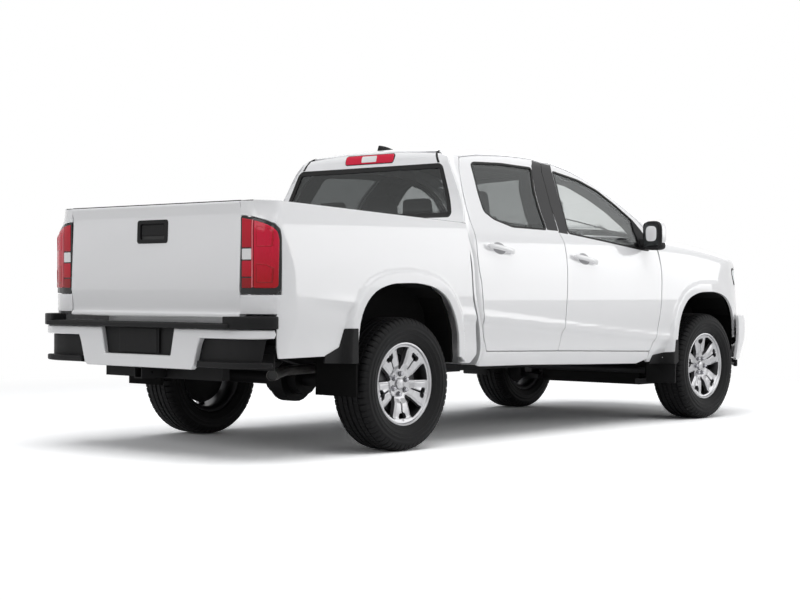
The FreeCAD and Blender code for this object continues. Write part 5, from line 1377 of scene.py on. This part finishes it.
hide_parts("grille")
shelf_across = np.linspace(-480, 480, 25)
shelf_edge = np.stack([front_face(np.abs(shelf_across)) - 18.0, shelf_across], axis=1)
prism("grille_shelf", np.concatenate([shelf_edge, [(2535, 480), (2535, -480)]]), "top", 712, 722, BLACK, bevel=1)
# Dark sheet behind the grille: painted shade in the opening
slab("grille_backing", grille_skin, moved(frame_edge, -8), PAINTED_SHADE, depth=4, spacing=60, lift=-30)
slab("grille_bar", grille_skin, rectangle(-446, 446, 862, 906, 8), PAINT, depth=22, spacing=30, lift=-1, hem=6)
GRILLE_RIBS, GRILLE_STEP = 12, 22
for number in range(GRILLE_RIBS):
    z = 756 + number * GRILLE_STEP
    if 850 < z + 4 < 918:
        continue
    slab("grille_rib_%d" % number, grille_skin, rectangle(-446, 446, z, z + 8, 3), BLACK, depth=14, spacing=40,
        lift=-8, hem=2.5)
GRILLE_RODS, ROD_STEP = 15, 60
for number in range(GRILLE_RODS):
    y = -420 + number * ROD_STEP
    slab("grille_rod_%d" % number, grille_skin, rectangle(y - 3, y + 3, 752, 1014, 2), BLACK, depth=8, spacing=40,
        lift=-14, hem=2)
nose_skin = Skin(front_form, "nose", 20, 1600, (1500.0, 0.0), 1000.0)


def nose_outline(points):
    return nose_skin.flatten(np.array([(float(nose_plan(abs(y))), y, z) for y, z in points], float))


for side, sign in SIGNS:
    shape = [(474, 905), (560, 908), (690, 915), (790, 926), (845, 944), (868, 984), (882, 1034), (882, 1058),
        (862, 1066), (790, 1074), (690, 1066), (560, 1050), (474, 1036)]
    lamp = rounded(nose_outline(signed(shape, sign)), 14)
    base = slab("headlamp_bowl_" + side, nose_skin, lamp, GLOSS_BLACK, depth=10, spacing=30, lift=-34, hem=4)
    slab("headlamp_edge_" + side, nose_skin, lamp, GLOSS_BLACK, holes=[moved(lamp, -9)], depth=34, spacing=20,
        lift=-1, hem=3)
    slab("headlamp_lens_" + side, nose_skin, moved(lamp, -5), LENS, depth=4, spacing=30, lift=-1.5, hem=2)
    for number, (y, z, r) in enumerate(((560, 980, 42), (670, 990, 40), (770, 1004, 36))):
        spot = nose_outline([(y * sign, z)])[0]
        slab("headlamp_eye_%d_%s" % (number, side), nose_skin, circle_points(spot, r, 36), CHROME, depth=10,
            spacing=12, lift=-20, hem=6, holes=[circle_points(spot, r * 0.62, 30)])
        slab("headlamp_glass_%d_%s" % (number, side), nose_skin, circle_points(spot, r * 0.62, 30), WHITE_LENS,
            depth=8, spacing=10, lift=-16, hem=5)
    wing_under = [(872, 732), (800, 731), (690, 731), (560, 731), (470, 731), (470, 898), (560, 900), (690, 906),
        (790, 921), (850, 950), (885, 900)]
    slab("nose_side_" + side, nose_skin, nose_outline(signed(wing_under, sign)), PAINT, depth=18, spacing=30, hem=3)
    brow = np.array([(2243, 866, 1072), (2243, 835, 1106), (2244, 790, 1128), (2246, 746, 1146), (2332, 718, 1126),
        (2422, 658, 1106), (2502, 563, 1082), (2547, 474, 1062)], float) * np.array([1, sign, 1])
    under = nose_outline(signed([(474, 1040), (560, 1054), (690, 1070), (790, 1078), (850, 1071)], sign))
    slab("nose_brow_" + side, nose_skin, np.concatenate([nose_skin.flatten(brow), under]), PAINT, depth=14,
        spacing=30, hem=2)
    if side == "left":
        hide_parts("headlamps")


# Floor and light
def seen_rays(tree):
    """One for rays that the camera, a gloss or a pane sends out, else nought."""
    path = add(tree, "LightPath")
    first = add(tree, "Math", {0: path.outputs["Is Camera Ray"], 1: path.outputs["Is Transmission Ray"]},
        operation="MAXIMUM")
    return add(tree, "Math", {0: first, 1: path.outputs["Is Glossy Ray"]}, operation="MAXIMUM")


FLOOR_HALF, FLOOR_LINES = 60.0, 41
FADE_START, FADE_END = 3.6, 7.0


def floor_finish():
    """Pale matt floor; the camera sees it brighter, with the shadow kept."""
    made = material("pale_floor", (0.62, 0.62, 0.62), 0.75, grain=0.03, scale=3.0, tint=0.01, gloss=0.0)
    tree = made.node_tree
    bright = add(tree, "BsdfDiffuse", {"Color": (1.5, 1.5, 1.5, 1)})
    white = add(tree, "Emission", {"Color": (1, 1, 1, 1), "Strength": 1.0})
    place = add(tree, "TexCoord")
    reach = add(tree, "VectorMath", {0: place.outputs["Object"]}, operation="LENGTH")
    away = add(tree, "MapRange", {"From Min": FADE_START, "From Max": FADE_END, "Value": reach},
        interpolation_type="SMOOTHSTEP")
    seen_floor = add(tree, "MixShader", {"Fac": away, 1: bright, 2: white})
    mix = add(tree, "MixShader")
    give(tree, mix, {"Fac": seen_rays(tree), 1: tree.nodes["Principled BSDF"], 2: seen_floor})
    give(tree, tree.nodes["Material Output"], {"Surface": mix})
    return made


def stage_floor(size, count):
    """Level floor of small squares that reaches past the camera on every side."""
    mesh = bpy.data.meshes.new("ground")
    line = np.linspace(-size, size, count)
    points = [(x, y, -0.001) for y in line for x in line]
    mesh.from_pydata(points, [],
        [(k, k + 1, k + count + 1, k + count) for k in range(count * (count - 1)) if (k + 1) % count])
    mesh.materials.append(floor_finish())
    ground = bpy.data.objects.new("ground", mesh)
    bpy.context.collection.objects.link(ground)


stage_floor(FLOOR_HALF, FLOOR_LINES)


def area_light(name, place, target, size, power):
    """Soft panel of light that faces its target; metres and watts."""
    lamp = bpy.data.lights.new(name, "AREA")
    lamp.shape = "RECTANGLE"
    lamp.size, lamp.size_y = size
    lamp.energy = power
    thing = bpy.data.objects.new(name, lamp)
    bpy.context.collection.objects.link(thing)
    thing.location = place
    thing.rotation_euler = (Vector(target) - Vector(place)).to_track_quat("-Z", "Y").to_euler()


area_light("sky_panel", (-1.0, -1.5, 7.5), (0, 0, 0.6), (10.0, 8.0), 520)
area_light("side_panel", (-1.0, -9.0, 4.5), (0, 0, 0.9), (9.0, 3.5), 85)
area_light("flank_panel", (8.6, -8.4, 2.95), (0.0, 0.0, 2.95), (9.0, 4.0), 260)
area_light("rear_panel", (-9.5, 1.0, 4.0), (-1, 0, 0.8), (6.0, 3.0), 150)
area_light("front_panel", (8.0, 4.0, 5.0), (0, 0, 0.8), (6.0, 4.0), 110)


def world():
    """Soft even light; the camera and every gloss see white."""
    made = bpy.data.worlds.new("studio")
    bpy.context.scene.world = made
    made.use_nodes = True
    tree = made.node_tree
    background = tree.nodes["Background"]
    give(tree, background, {"Color": (0.75, 0.77, 0.80, 1), "Strength": 0.28})
    white = add(tree, "Background", {"Color": (1, 1, 1, 1), "Strength": 1.0})
    mix = add(tree, "MixShader")
    give(tree, mix, {"Fac": seen_rays(tree), 1: background, 2: white})
    give(tree, tree.nodes["World Output"], {"Surface": mix})


world()

# Camera: focal length in picture widths, angles in degrees and place in metres, as fitted to the photograph
SENSOR = 36.0
FOCAL_SHARE = 1594.4 / 800.0
YAW, PITCH, ROLL = 41.010, -0.235, 0.248
CAMERA_PLACE = (-8.1939, -6.6854, 0.8758)
camera_data = bpy.data.cameras.new("camera")
camera_data.sensor_width = SENSOR
camera_data.lens = FOCAL_SHARE * SENSOR
camera_data.clip_end = 200.0
camera = bpy.data.objects.new("camera", camera_data)
bpy.context.collection.objects.link(camera)
yaw, pitch, roll = math.radians(YAW), math.radians(PITCH), math.radians(ROLL)
forward = Vector((math.cos(pitch) * math.cos(yaw), math.cos(pitch) * math.sin(yaw), math.sin(pitch)))
level = Vector((math.sin(yaw), -math.cos(yaw), 0.0))
upward = level.cross(forward)
right = math.cos(roll) * level + math.sin(roll) * upward
top = -math.sin(roll) * level + math.cos(roll) * upward
turn = Matrix((right, top, -forward)).transposed().to_4x4()
turn.translation = Vector(CAMERA_PLACE)
camera.matrix_world = turn
bpy.context.scene.camera = camera
bpy.context.scene.view_settings.view_transform = "Standard"

# Better materials for the pieces of the frame that stay
FINISHES = {slot: finishes[0] for slot, finishes in SLOTS.items()}
BY_NODE = {"front_liners": LINER, "rear_liners": LINER}
for node, thing in frame["nodes"].items():
    for number, old in enumerate(thing.data.materials):
        base = old.name.split(".")[0]
        thing.data.materials[number] = BY_NODE.get(node, FINISHES.get(base, BLACK))
